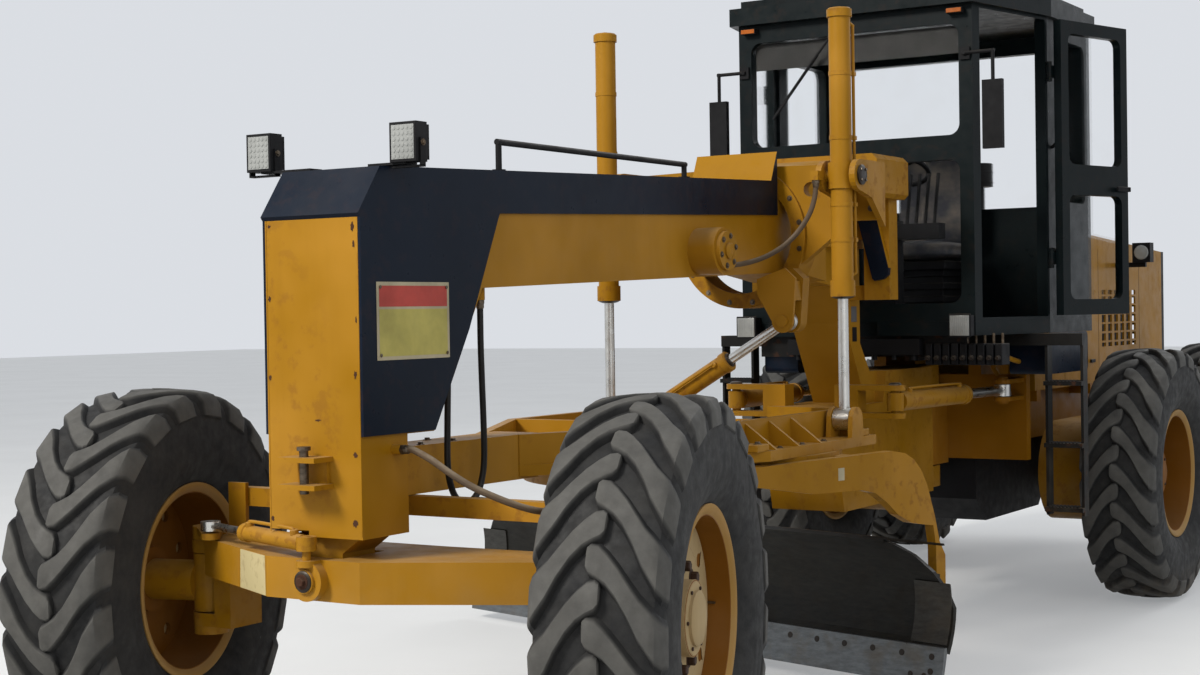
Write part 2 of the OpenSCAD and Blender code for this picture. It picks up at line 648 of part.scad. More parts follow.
shift_ball = 28;
shift_tube = 480;
module shift_barrel() color(yellow) difference() {
    along(shift_a, shift_b) translate([0, 0, 12]) cylinder(h = shift_tube - 12, r = 42, $fn = 64);
    translate(shift_a) sphere(r = shift_ball + run, $fn = 64);
    along(shift_a, shift_b) translate([0, 0, 60]) cylinder(h = shift_tube, r = shift_rod_r + run, $fn = 64);
}

module shift_rod() color(chromed) {
    along(shift_a, shift_b) translate([0, 0, 240])
        cylinder(h = norm(shift_b - shift_a) - 240, r = shift_rod_r, $fn = 64);
    round_y(shift_b[0], shift_y - 14, shift_y + 14, shift_b[2], 42);
}

// Drawbar: ball socket, box, and the plate frame over the circle
draw_top = ball_z + 80;
plate_low = 1030;
plate_t = 40;
plate_back = circle_y + 560;
plate_half = 640;
wall_t = 30;
wall_x = 500;

module drawbar() color(yellow) difference() {
    union() {
        extrude_z(ball_z - 80, draw_top) polygon([[-75, ball_y + 6], [75, ball_y + 6], [95, 760], [-95, 760]]);
        extrude_z(plate_low, plate_low + plate_t) polygon([[-95, 640], [95, 640],
            [plate_half, 1540], [plate_half, plate_back], [-plate_half, plate_back], [-plate_half, 1540]]);
        both() extrude_z(plate_low + plate_t - 1, draw_top) polygon([[65, 660], [95, 640],
            [wall_x, 1420], [wall_x, plate_back], [wall_x - wall_t, plate_back],
            [wall_x - wall_t, 1440]]);
        block([-wall_x, wall_x], [circle_y - 560, circle_y - 560 + wall_t],
            [plate_low + plate_t - 1, draw_top]);
        for (x = [[-wall_x, shift_a[0] + 280], [350, wall_x]]) block(x, [plate_back - wall_t, plate_back],
            [plate_low + plate_t - 1, draw_top]);
        block([shift_a[0] + 279, 190], [plate_back - wall_t, plate_back],
            [plate_low + plate_t - 1, shift_a[2] - 20]);
        both() for (y = [1600, 1800, 2000]) extrude_y(y, y + 16) polygon([[wall_x - 1, draw_top - 10],
            [wall_x - 1, plate_low + plate_t - 1], [plate_half - 4, plate_low + plate_t - 1]]);
        both() for (x = [lift_x - lift_eye_half - 4 - 20, lift_x + lift_eye_half + 4])
            extrude_x(x, x + 20) polygon(concat([[lift_y + 60, plate_low + plate_t - 1]],
                arc([lift_y, lift_low], 52, 0, 180, 12), [[lift_y - 60, plate_low + plate_t - 1]]));
        both() round_x(lift_x - lift_eye_half - 14, lift_x + lift_eye_half + 14, lift_y, lift_low, 20);
        round_z(shift_a[0], shift_a[1], plate_low + plate_t - 1, shift_a[2], 13);
        round_z(shift_a[0], shift_a[1], plate_low + plate_t - 1, plate_low + plate_t + 20, 30);
        translate(shift_a) sphere(r = shift_ball, $fn = 64);
    }
    translate([0, ball_y, ball_z]) sphere(r = ball_r + gap, $fn = 64);
    round_y(0, ball_y - 20, ball_y + 20, ball_z, 50);
    both() extrude_z(plate_low - 1, plate_low + plate_t + 1) polygon([[70, 950], [330, 1400],
        [330, circle_y - 330], [70, circle_y - 330]]);
    round_z(0, circle_y + 120, plate_low - 1, plate_low + plate_t + 1, 300);
}

// Circle with teeth inside its ring and the two arms that carry the blade
circle_t = 110;
circle_z = plate_low - gap - circle_t;
circle_in = circle_r - 90;
tooth = 22;
arm_x = 700;
arm_high = circle_z + circle_t - 8;
arm_half = 22;
tilt_r = 30;

module circle_place() translate([0, circle_y, 0]) rotate([0, 0, -circle_rest]) children();

// Inner outline of the circle: its drive teeth point inwards
tooth_steps = [[0, tooth], [0.4, tooth], [0.55, 0], [0.85, 0]];
module tooth_plan() polygon([for (k = [0:circle_teeth - 1]) for (v = tooth_steps)
    let (a = 360 * (k + v[0]) / circle_teeth, r = circle_in + v[1]) [r * cos(a), r * sin(a)]]);

module circle_ring() color(yellow) circle_place() difference() {
    union() {
        difference() {
            round_z(0, 0, circle_z, circle_z + circle_t, circle_r);
            extrude_z(circle_z - 1, circle_z + circle_t + 1) tooth_plan();
        }
        both() {
            extrude_x(arm_x - arm_half, arm_x + arm_half) arm_side();
            for (y = [-330, 240]) block([sqrt(circle_r * circle_r - 390 * 390) - 5, arm_x],
                [y, y + 90], [circle_z + 15, circle_z + circle_t - 15]);
        }
    }
    both() round_x(arm_x - arm_half - 1, arm_x + arm_half + 1, tilt_pin[0], tilt_pin[1], tilt_r + run);
}

module arm_side() polygon(concat(
    [[-800, circle_z + 45], [-800, circle_z + 72], [-460, arm_high - 12], [500, arm_high],
     [585, 1008], [645, 978], [690, 932], [730, 868], [780, 733], [812, 620], [850, 560],
     [tilt_pin[0] + 50, tilt_pin[1]]],
    arc(tilt_pin, 50, 0, -180, 12),
    [[tilt_pin[0] - 50, tilt_pin[1] + 60], [788, 400], [786, 600], [768, 692], [700, 702],
     [620, 716], [535, 756], [455, 817], [385, 858], [300, 876], [0, 884], [-460, 955]]));

// Carrier: tube between the arms, and jaws round the blade's two rails
rail_y = [706, 732];
rail_z = [[296, 326], [466, 496]];
jaw_x = 430;
jaw_w = 160;

module blade_carrier() color(yellow) circle_place() difference() {
    union() {
        round_x(-arm_x - arm_half - 20, arm_x + arm_half + 20, tilt_pin[0], tilt_pin[1], tilt_r);
        round_x(-arm_x + arm_half + 4, arm_x - arm_half - 4, tilt_pin[0], tilt_pin[1], 44);
        both() round_x(arm_x + arm_half + 4, arm_x + arm_half + 22, tilt_pin[0], tilt_pin[1], 44);
        both() extrude_x(jaw_x, jaw_x + jaw_w) polygon([[713, 285], [726, 250], [tilt_pin[0] + 44, 250],
            [tilt_pin[0] + 44, 300], [782, 330], [782, 500], [740, 520], [713, 520]]);
    }
    for (z = rail_z) block([-jaw_x - jaw_w - 1, jaw_x + jaw_w + 1], [700, rail_y[1] + 0.5], [z[0] - 0.5, z[1] + 0.5]);
}

// Blade with its rails, and its cutting edge with the end bits
function bow(p, q, sag, n, off) =
    let (c = norm(q - p), r = (c * c / 4 + sag * sag) / (2 * sag), t = (q - p) / c,
        k = [t[1], -t[0]], o = (p + q) / 2 - k * (r - sag), h = asin(c / 2 / r))
    [for (i = [0:n]) let (b = -h + 2 * h * i / n) o + (r + off) * (k * cos(b) + t * sin(b))];

module blade() color(steel) circle_place() {
    difference() {
        extrude_x(blade_right, blade_left) polygon(concat(bow(face_low, face_top, face_sag, 10, 0),
            [for (i = [10:-1:0]) bow(face_low, face_top, face_sag, 10, blade_t)[i]]));
        for (side = [0, 1]) translate([side > 0 ? blade_left : blade_right, 0, face_top[1]])
            mirror([1 - side, 0, 0]) extrude_y(500, 900) polygon([[-310, 3], [-250, -14], [-170, -52],
                [-90, -120], [-30, -205], [3, -270], [3, 3]]);
    }
    extrude_x(blade_right + 300, blade_left - 300) polygon([[face_top[0] + 1, face_top[1] - 12],
        [face_top[0] + 1, face_top[1] - 1], [face_top[0] + 40, face_top[1] + 10],
        [face_top[0] + 40, face_top[1] - 3]]);
    for (z = rail_z) block([blade_right + 100, blade_left - 100], rail_y, z);
    for (z = rail_z) block([blade_right + 100, blade_left - 100], [690, rail_y[0] + 1], [z[0] + 8, z[1] - 8]);
}

module cutting_edge() color(chromed) circle_place() {
    lean = face_low[0] - edge_y;
    extrude_x(blade_right, blade_left) polygon([[face_low[0] - 17, face_low[1] + 20],
        [face_low[0] - 17 - lean, edge_low], [face_low[0] - 3 - lean, edge_low],
        [face_low[0] - gap, face_low[1] - 4], [face_low[0] - gap, face_low[1] + 20]]);
}

// Rear frame: rails, hinge block, cab deck, tail
rail_in = 240;
rail_out = 310;
rail_low = 850;
rail_high = 1120;
cross_y = pivot_y + 150;
deck_low = 1345;
deck_front = cab_front + 60;
deck_back = cab_back + 60;
step_x = [820, 1000];

deck_top = floor_z - 70 - gap;
hood_low = 1135;
hood_front = cab_back + 80;
drive_y = tandem_y[0] + tandem_pitch / 2;
drive_r = 165;
mid_cross_y = drive_y + 52.5;
module rear_frame() color(yellow) difference() {
    union() {
        both() block([rail_in, rail_out], [cross_y, tail_y - 60], [rail_low, rail_high]);
        both() block([rail_in, rail_out], [deck_front, deck_back], [deck_low, deck_top]);
        both() block([rail_in, rail_out], [cross_y, cross_y + 420], [rail_low, deck_top]);
        block([-560, 560], [cross_y, cross_y + 60], [rail_low - 60, 1245]);
        for (y = [deck_front, cross_y + 360]) block([-560, 560], [y, y + 60], [deck_low + 20, deck_top]);
        for (y = [hood_front + 30, mid_cross_y, hood_back - 240]) block([-hood_half, hood_half], [y, y + 70],
            [rail_high - 45, hood_low - gap]);
        block([-460, 460], [tail_y - 60, tail_y], [600, rail_high]);
        extrude_z(box_low + lug_t + free, box_top - lug_t - free) {
            translate([0, pivot_y]) circle(lug_r - 4, $fn = 64);
            translate([-lug_r + 4, pivot_y]) square([2 * lug_r - 8, cross_y - pivot_y + 5]);
        }
        both() for (z = [turn_z - 30 - 5 - 22, turn_z + 30 + 5]) extrude_z(z, z + 22) {
            translate(turn_eye) circle(46, $fn = 48);
            translate([turn_eye[0] - 46, turn_eye[1]]) square([92, cross_y - turn_eye[1] + 5]);
        }
        both() for (z = [turn_z - 69, turn_z + 54]) round_z(turn_eye[0], turn_eye[1], z, z + 15, 30);
        both() {
            for (x = step_x) block([x, x + 14], [cross_y - 470, cross_y - 400], [560, floor_z - 80]);
            for (z = [580, 900, 1210]) block([step_x[0], step_x[1] + 14], [cross_y - 500, cross_y - 400], [z, z + 22]);
            block([250, step_x[1] + 14], [cross_y - 480, cross_y - 400], [floor_z - 130, deck_top]);
        }
        both() block([rail_in, rail_out], [drive_y - 110, drive_y + 110], [rail_low - 90, rail_low + 5]);
    }
    for (x = [-300, 300]) round_y(x, tail_y - 61, tail_y + 1, 760, 20);
    round_x(-rail_out - 1, rail_out + 1, drive_y, wheel_z, drive_r + gap);
}
module hinge_pin() color(steel) round_z(0, pivot_y, box_low, box_top, pin_r);

// Tandem cases, the axle tube between them, and the wheels' spindles
case_x = [480, 770];
module tandem_drive() color(yellow) {
    both() {
        extrude_x(case_x[0], case_x[1]) {
            for (y = tandem_y) translate([y, wheel_z]) circle(tandem_r, $fn = 96);
            translate([tandem_y[0], wheel_z - tandem_r]) square([tandem_pitch, 2 * tandem_r]);
        }
        for (y = tandem_y) round_x(case_x[1] - 5, track / 2 + 40, y, wheel_z, spindle_r);
        for (y = tandem_y) round_x(case_x[1] - 5, case_x[1] + 14, y, wheel_z, 110);
    }
    round_x(-case_x[0] - 5, case_x[0] + 5, drive_y, wheel_z, drive_r);
}

module transmission() color(black)
    extrude_x(-rail_in + gap, rail_in - gap) polygon([[cross_y + 90, 1000], [cross_y + 90, 560],
        [cross_y + 240, 430], [drive_y - 330, 430], [drive_y - 190, 560], [drive_y - 190, 1000]]);

// Engine, hood and grille
engine_y = [drive_y - 157.5, drive_y + 952.5];
hood_tail = 1960;
stacks = [[180, 6350, 70], [-200, 6000, 60]];

module engine_block() color(black) difference() {
    block([-rail_in + gap, rail_in - gap], engine_y, [rail_low + 60, 1700]);
    block([-rail_in, rail_in], [mid_cross_y - gap, mid_cross_y + 70 + gap], [rail_high - 45 - gap, hood_low]);
}

module hood_shape(inset) polygon([[hood_front + inset, hood_low + (inset > 0 ? -1 : 0)],
    [hood_front + inset, hood_top - inset], [hood_back - (inset > 0 ? -1 : 0), hood_tail - inset],
    [hood_back - (inset > 0 ? -1 : 0), hood_low + (inset > 0 ? -1 : 0)]]);

module hood() color(yellow) difference() {
    extrude_x(-hood_half, hood_half) hood_shape(0);
    extrude_x(-hood_half + sheet, hood_half - sheet) hood_shape(sheet);
    for (k = stacks) round_z(k[0], k[1], 1700, 2200, k[2] + gap);
    for (i = [0:5]) for (side = [-1, 1]) block([side * hood_half - 20, side * hood_half + 20],
        [6450 + i * 130, 6530 + i * 130], [1350, 1700]);
}

module rear_grille() color(black) {
    frame_t = 45;
    difference() {
        block([-hood_half, hood_half], [hood_back + gap, hood_back + 55], [hood_low, hood_tail]);
        block([-hood_half + frame_t, hood_half - frame_t], [hood_back - 1, hood_back + 60],
            [hood_low + frame_t, hood_tail - frame_t]);
    }
    for (z = [hood_low + frame_t + 40 : 62 : hood_tail - frame_t - 30])
        block([-hood_half + frame_t - 2, hood_half - frame_t + 2], [hood_back + 10, hood_back + 45], [z, z + 16]);
}

module side_boxes() color(navy) both() {
    soft_x(cab_half - 190, cab_half + 10, [pivot_y - 220, cab_back - 110], [deck_low - 85, deck_top], 30);
}

module soft_x(x0, x1, y, z, r) extrude_x(x0, x1) soft_rect([y[0], z[0]], y[1] - y[0], z[1] - z[0], r);

module exhaust_and_intake() color(black) {
    round_z(180, 6350, 1900, 2080, 70);
    round_z(180, 6350, 2070, 2900, 48);
    round_z(-200, 6000, 1900, 2350, 60);
    round_z(-200, 6000, 2340, 2480, 110);
}

// Cab
slant = atan2(cab_half - cab_front_half, door_y - cab_front);
door_len = norm([cab_half - cab_front_half, door_y - cab_front]);
door_margin = [22, 66];
door_z = [floor_z + 20, roof_z - 20];
door_t = 44;
hinge = [6, 16];
hinge_r = 8;
sill = [2330, 2450];
screen_top = roof_z - 90;

module cab_plan(inset) polygon([[-cab_front_half + inset, cab_front + inset],
    [cab_front_half - inset, cab_front + inset], [cab_half - inset, door_y + inset * 0.2],
    [cab_half - inset, cab_back - inset], [-cab_half + inset, cab_back - inset],
    [-cab_half + inset, door_y + inset * 0.2]]);

// Door wall's own frame: X forward along the wall from its hinge corner, Y outwards
module door_wall() translate([cab_half, door_y, 0]) rotate([0, 0, -90 - slant]) children();

module cab_floor() color(cabin) extrude_z(floor_z - 70, floor_z) difference() {
    cab_plan(0);
    translate([-120, cab_front - 1]) square([240, 60]);
}

windows_front = [[-565, sill[1], 1130, screen_top - sill[1]], [-565, floor_z + 90, 1130, sill[0] - floor_z - 90]];

module cab_windows(shrink) {
    for (w = windows_front) extrude_y(cab_front - 1, cab_front + post + 1)
        soft_rect([w[0] + shrink, w[1] + shrink], w[2] - 2 * shrink, w[3] - 2 * shrink, 55);
    extrude_y(cab_back - post - 1, cab_back + 1)
        soft_rect([-620 + shrink, 2150 + shrink], 1240 - 2 * shrink, screen_top - 2150 - 2 * shrink, 55);
    for (side = [0, 1]) mirror([side, 0, 0]) extrude_x(cab_half - post - 1, cab_half + 1)
        soft_rect([door_y + 110 + shrink, 2150 + shrink], cab_back - door_y - 200 - 2 * shrink,
            screen_top - 2150 - 2 * shrink, 55);
}

module cab_frame() color(cabin) {
    difference() {
        extrude_z(floor_z + gap, roof_z - gap) difference() {
            cab_plan(0);
            cab_plan(post);
        }
        cab_windows(0);
        both() door_wall() block([door_margin[0] - 4, door_len - door_margin[1] + 4], [-post - 60, 40],
            [door_z[0] - 4, door_z[1] + 4]);
    }
    both() door_wall() for (z = hinge_heights) for (dz = [-50, 32]) {
        round_z(hinge[0], hinge[1], z + dz, z + dz + 18, 14);
        block([hinge[0] - 9, hinge[0] + 9], [-4, hinge[1]], [z + dz, z + dz + 18]);
    }
    both() door_wall() for (z = hinge_heights) round_z(hinge[0], hinge[1], z - 40, z + 40, hinge_r);
}
hinge_heights = [1850, 2800];

module cab_roof() color(cabin) {
    extrude_z(roof_z, roof_z + roof_h - 40) offset_plan(25);
    extrude_z(roof_z + roof_h - 41, roof_z + roof_h) offset_plan(-20);
}
module offset_plan(grow) polygon([[-cab_front_half - grow, cab_front - grow - 30],
    [cab_front_half + grow, cab_front - grow - 30], [cab_half + grow, door_y],
    [cab_half + grow, cab_back + grow], [-cab_half - grow, cab_back + grow], [-cab_half - grow, door_y]]);

module cab_glass() color(glassy) intersection() {
    cab_windows(gap);
    difference() {
        extrude_z(floor_z, roof_z) cab_plan(post / 2 - 4);
        extrude_z(floor_z - 1, roof_z + 1) cab_plan(post / 2 + 4);
    }
}

// Doors, drawn shut; turn is the angle about the hinge
module door_turned(side, turn) mirror([side > 0 ? 0 : 1, 0, 0]) door_wall()
    translate(p3(hinge, 0)) rotate([0, 0, turn]) translate(-p3(hinge, 0)) children();

door_w = door_len - door_margin[0] - door_margin[1];
door_panes = [[floor_z + 100, 2175], [2330, roof_z - 85]];
module door_holes(shrink) for (z = door_panes) extrude_y(-door_t - 1, 1)
    soft_rect([door_margin[0] + 62 + shrink, z[0] + shrink], door_w - 120 - 2 * shrink,
        z[1] - z[0] - 2 * shrink, 45);

module door_shape() color(cabin) {
    difference() {
        block([door_margin[0], door_margin[0] + door_w], [-door_t, 0], door_z);
        door_holes(0);
    }
    difference() {
        for (z = hinge_heights) {
            round_z(hinge[0], hinge[1], z - 31, z + 31, 14);
            block([hinge[0], door_margin[0] + 30], [3, hinge[1] + 4], [z - 31, z + 31]);
            block([door_margin[0] + 4, door_margin[0] + 30], [-4, 4], [z - 31, z + 31]);
        }
        for (z = hinge_heights) round_z(hinge[0], hinge[1], z - 32, z + 32, hinge_r + run);
    }
}
module door_pane() color(glassy) intersection() {
    door_holes(gap);
    block([0, door_len], [-door_t / 2 - 4, -door_t / 2 + 4], door_z);
}
module door_left() door_turned(1, door_open) door_shape();
module door_glass_left() door_turned(1, door_open) door_pane();
module door_right() door_turned(-1, 0) door_shape();
module door_glass_right() door_turned(-1, 0) door_pane();

module seat() color(black) {
    block([-200, 200], [4480, 4860], [floor_z + gap, floor_z + 320]);
    block([-240, 240], [4430, 4880], [floor_z + 319, floor_z + 430]);
    block([-230, 230], [4840, 4940], [floor_z + 400, floor_z + 1000]);
}

module steering_console() color(black) {
    block([-90, 90], [4060, 4180], [floor_z + gap, floor_z + 520]);
    along([0, 4140, floor_z + 500], [0, 4270, floor_z + 820]) {
        cylinder(h = 330, r = 34, $fn = 48);
        translate([0, 0, 320]) {
            rotate_extrude($fn = 64) translate([190, 0]) circle(14, $fn = 24);
            for (a = [0, 120, 240]) rotate([0, 0, a]) translate([0, -12, -6]) cube([190, 24, 12]);
        }
    }
    for (side = [-1, 1]) for (i = [0:3]) bar([side * (130 + i * 50), 4130, floor_z + 480],
        [side * (130 + i * 50), 4200, floor_z + 760], 9);
    for (side = [-1, 1]) block([side * 205 - 120, side * 205 + 120], [4080, 4170], [floor_z + 420, floor_z + 500]);
}

module mirrors() color(black) {
    for (side = [-1, 1]) {
        x = side * (cab_front_half + 110);
        arm_y = cab_front - 20;
        block([side * 600 - 25, side * 600 + 25], [cab_front - 14, cab_front - gap], [2810, 2870]);
        bar([side * 600, cab_front - 10, 2840], [side * 600, arm_y - 9, 2840], 9);
        bar([side * 591, arm_y, 2840], [x + side * 9, arm_y, 2840], 9);
        bar([x, arm_y, 2849], [x, arm_y, 2690], 9);
        block([x - 50, x + 50], [arm_y - 18, arm_y + 12], [2370, 2700]);
    }
}

module lamps() color(black) {
    for (side = [-1, 1]) {
        block([side * 580 - 50, side * 580 + 50], [cab_front - 65, cab_front - gap], [floor_z - 70, floor_z + 30]);
        block([side * 560 - 40, side * 560 + 40], [cab_front - 45, cab_front - gap], [roof_z - 45, roof_z - 20]);
        block([side * 330 - 60, side * 330 + 60], [tail_y + gap, tail_y + 45 - 45 + 30], [960, 1060]);
    }
    block([hood_half + gap, hood_half + 190], [6740, 6770], [1840, 1870]);
    block([hood_half + 120, hood_half + 230], [6700, 6780], [1869, 1990]);
}

module cab_pipes() color(yellow) {
    block([-380, 340], [cab_front + 6, deck_front - gap], [1375, 1455]);
    for (i = [0:6]) round_z(-330 + i * 105, cab_front + 33, 1350, 1380, 13);
}

place() {
    rear_frame();
    hinge_pin();
}
place() engine_block();
place() hood();
place() rear_grille();
place() side_boxes();
place() tandem_drive();
place() transmission();
place() cab_floor();
place() cab_frame();
place() cab_roof();
place() cab_glass();
place() seat();
place() steering_console();
place() mirrors();
place() lamps();
place() cab_pipes();
place() exhaust_and_intake();
place() tyre_left_mid();
place() rim_left_mid();
place() tyre_left_back();
place() rim_left_back();
place() tyre_right_mid();
place() rim_right_mid();
place() tyre_right_back();
place() rim_right_back();
place() door_left();
place() door_glass_left();
place() door_right();
place() door_glass_right();
place() front_frame();
place() nose_cowl();
place() lifter_yoke();
place() hose_beam();
place() hose_loop();
place() hose_axle();
place() lamps_and_rail();
place() front_axle();
place() lean_linkage();
place() knuckle_left();
place() knuckle_right();
place() tyre_left_front();
place() rim_left_front();
place() tyre_right_front();
place() rim_right_front();
place() tie_rod();
place() steer_barrel();
place() steer_rod();
place() drawbar();
place() circle_ring();
place() blade_carrier();
place() blade();
place() cutting_edge();
place() lift_barrels();
place() lift_rods();
place() shift_barrel();
place() shift_rod();
place() turn_barrel_left();
place() turn_rod_left();
place() turn_barrel_right();
place() turn_rod_right();
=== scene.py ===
import random
from math import asin, atan, atan2, cos, exp, pi, radians, sin, sqrt

import bmesh
import bpy
from mathutils import Matrix, Vector


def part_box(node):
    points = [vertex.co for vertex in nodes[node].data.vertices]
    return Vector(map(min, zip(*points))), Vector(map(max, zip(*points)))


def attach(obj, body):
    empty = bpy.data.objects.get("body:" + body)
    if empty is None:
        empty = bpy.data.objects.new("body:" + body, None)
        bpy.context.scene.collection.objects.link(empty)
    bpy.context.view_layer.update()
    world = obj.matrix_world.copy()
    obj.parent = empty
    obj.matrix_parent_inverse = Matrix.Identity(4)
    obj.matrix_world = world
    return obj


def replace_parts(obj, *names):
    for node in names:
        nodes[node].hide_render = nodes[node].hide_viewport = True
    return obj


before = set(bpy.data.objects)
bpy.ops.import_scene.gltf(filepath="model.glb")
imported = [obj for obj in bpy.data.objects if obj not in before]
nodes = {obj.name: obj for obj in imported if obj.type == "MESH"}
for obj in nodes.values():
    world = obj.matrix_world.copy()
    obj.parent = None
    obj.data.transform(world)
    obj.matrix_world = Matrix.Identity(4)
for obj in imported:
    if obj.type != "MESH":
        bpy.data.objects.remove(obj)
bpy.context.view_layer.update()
chance = random.Random(7)

# Where the machine stands in the row frame: x = 0 on its centre plane, s = 0 at the front axle
NOSE_TO_AXLE = 0.44
front_low, front_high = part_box("front_frame")
OFF = Vector(((front_low.x + front_high.x) / 2, front_low.y + NOSE_TO_AXLE, 0))

# Camera, found from the wheels and the frame in the photograph
CAMERA = dict(x=3.8151, s=-4.7269, z=1.6141, yaw=32.145, pitch=-0.81, roll=-0.89, focal_px=1830)
IMAGE_WIDTH = 1200


link = bpy.context.scene.collection.objects.link


def at(x, s, z):
    """A point given from the machine's centre plane, its front axle and the ground, in metres."""
    return Vector((x + OFF.x, s + OFF.y, z))


# Camera and light
def make_camera():
    c = CAMERA
    yaw, pitch, roll = (radians(c[k]) for k in ("yaw", "pitch", "roll"))
    ahead = Vector((-sin(yaw) * cos(pitch), cos(yaw) * cos(pitch), sin(pitch)))
    camera = bpy.data.objects.new("camera", bpy.data.cameras.new("camera"))
    link(camera)
    turn = ahead.to_track_quat("-Z", "Y").to_matrix().to_4x4()
    camera.matrix_world = Matrix.Translation(at(c["x"], c["s"], c["z"])) @ turn @ Matrix.Rotation(roll, 4, "Z")
    camera.data.sensor_fit = "HORIZONTAL"
    camera.data.sensor_width = 36
    camera.data.lens = 36 * c["focal_px"] / IMAGE_WIDTH
    camera.data.clip_end = 200
    bpy.context.scene.camera = camera


SKY, SKY_LIGHT, SKY_SEEN = (0.86, 0.89, 0.94), 0.5, 0.82
WARM = (1, 0.96, 0.9)
# Studio lamps, all turned to the machine's middle: place, size, watts and colour
STUDIO = {
    "key": ((-4, -9, 10), 4, 1900, WARM),
    "fill": ((9, -4, 6), 8, 240, WARM),
    "back": ((2, 14, 9), 8, 420, (1, 1, 1)),
}


def area_light(name, place, target, size, watts, colour):
    light = bpy.data.lights.new(name, "AREA")
    light.shape = "DISK"
    light.size = size
    light.energy = watts
    light.color = colour
    o = bpy.data.objects.new(name, light)
    o.location = place
    o.rotation_euler = (Vector(target) - Vector(place)).to_track_quat("-Z", "Y").to_euler()
    link(o)


def straight_rays(tree):
    """1 for what the camera sees straight, mirrored or through glass, 0 for the light on things."""
    path = tree.nodes.new("ShaderNodeLightPath")
    total = path.outputs["Is Camera Ray"]
    for other in ("Is Glossy Ray", "Is Transmission Ray"):
        most = tree.nodes.new("ShaderNodeMath")
        most.operation = "MAXIMUM"
        tree.links.new(total, most.inputs[0])
        tree.links.new(path.outputs[other], most.inputs[1])
        total = most.outputs[0]
    return total


def make_light():
    world = bpy.data.worlds.new("world")
    world.use_nodes = True
    tree = world.node_tree
    background = tree.nodes["Background"]
    background.inputs["Color"].default_value = (*SKY, 1)
    strength = tree.nodes.new("ShaderNodeMapRange")
    strength.inputs["To Min"].default_value = SKY_LIGHT
    strength.inputs["To Max"].default_value = SKY_SEEN
    tree.links.new(straight_rays(tree), strength.inputs["Value"])
    tree.links.new(strength.outputs["Result"], background.inputs["Strength"])
    bpy.context.scene.world = world
    for name, (place, size, watts, colour) in STUDIO.items():
        area_light(name, at(*place), at(0, 3, 1), size, watts, colour)


# Materials
def shade(colour, factor):
    return tuple(c * factor for c in colour)


class Shader:
    """A short way to write a material's nodes."""

    def __init__(self, name):
        self.material = bpy.data.materials.new(name)
        self.material.use_nodes = True
        self.tree = self.material.node_tree
        self.surface = self.tree.nodes["Principled BSDF"]
        self.where = self.add("TexCoord").outputs["Object"]

    def add(self, kind, **settings):
        node = self.tree.nodes.new("ShaderNode" + kind)
        for key, value in settings.items():
            setattr(node, key, value)
        return node

    def put(self, socket, value):
        if hasattr(value, "is_output"):
            self.tree.links.new(value, socket)
        elif isinstance(value, tuple) and len(value) == 3 and socket.type == "RGBA":
            socket.default_value = (*value, 1)
        else:
            socket.default_value = value

    def feed(self, node, **values):
        """Put values into the node's sockets of the same names."""
        for name, value in values.items():
            self.put(node.inputs[name], value)
        return node

    def noise(self, scale, detail=4, rough=0.6, stretch=None):
        where = self.where
        if stretch:
            mapping = self.feed(self.add("Mapping"), Scale=stretch, Vector=where)
            where = mapping.outputs["Vector"]
        node = self.add("TexNoise")
        return self.feed(node, Scale=scale, Detail=detail, Roughness=rough, Vector=where).outputs["Fac"]

    def ramp(self, value, low, high, out_low=0.0, out_high=1.0):
        node = self.add("MapRange", clamp=True)
        for socket, v in zip(node.inputs[:5], (value, low, high, out_low, out_high)):
            self.put(socket, v)
        return node.outputs["Result"]

    def cloud(self, low, high, scale, detail=4, rough=0.6):
        """Noise that is 0 below low and 1 above high."""
        return self.ramp(self.noise(scale, detail, rough), low, high)

    def maths(self, operation, a, b=0.0, clamp=True):
        node = self.add("Math", operation=operation, use_clamp=clamp)
        self.put(node.inputs[0], a)
        self.put(node.inputs[1], b)
        return node.outputs[0]

    def times(self, a, b):
        return self.maths("MULTIPLY", a, b)

    def most(self, a, b):
        return self.maths("MAXIMUM", a, b)

    def mix(self, amount, a, b):
        return self.feed(self.add("Mix", data_type="RGBA"), Factor=amount, A=a, B=b).outputs["Result"]

    def upward(self):
        """1 where the surface looks up, 0 where it looks sideways or down."""
        split = self.add("SeparateXYZ")
        self.put(split.inputs[0], self.add("NewGeometry").outputs["Normal"])
        return self.ramp(split.outputs["Z"], 0.15, 0.95)

    def height(self):
        return self.place()["Z"]

    def place(self):
        split = self.add("SeparateXYZ")
        self.put(split.inputs[0], self.where)
        return split.outputs

    def apart(self):
        """Distance from the machine's centre plane, to either side."""
        off = self.maths("SUBTRACT", self.place()["X"], OFF.x, clamp=False)
        return self.maths("ABSOLUTE", off, clamp=False)

    def mark(self, name):
        """A value that the mesh carries in each vertex."""
        return self.add("Attribute", attribute_name=name).outputs["Fac"]

    def edges(self, low, high):
        """1 along outer edges, 0 on flat faces and in hollows."""
        return self.ramp(self.add("NewGeometry").outputs["Pointiness"], low, high)

    def bump(self, height, strength, distance=0.002):
        node = self.feed(self.add("Bump"), Strength=strength, Distance=distance, Height=height)
        self.put(self.surface.inputs["Normal"], node.outputs["Normal"])

    def finish(self, colour, rough, metal=None, shine=None):
        values = {"Base Color": colour, "Roughness": rough, "Metallic": metal, "Specular IOR Level": shine}
        self.feed(self.surface, **{name: value for name, value in values.items() if value is not None})
        return self.material


DUST = (0.36, 0.29, 0.2)
RUST = (0.13, 0.045, 0.015)
# The rear frame is painted dark from the deck's underside up, and outside its rails
DARK_FROM_Z, DARK_FROM_X = 1.338, 0.8
# Where the dark cover's top turns up along the yellow gooseneck
COWL_RISE = 2.45


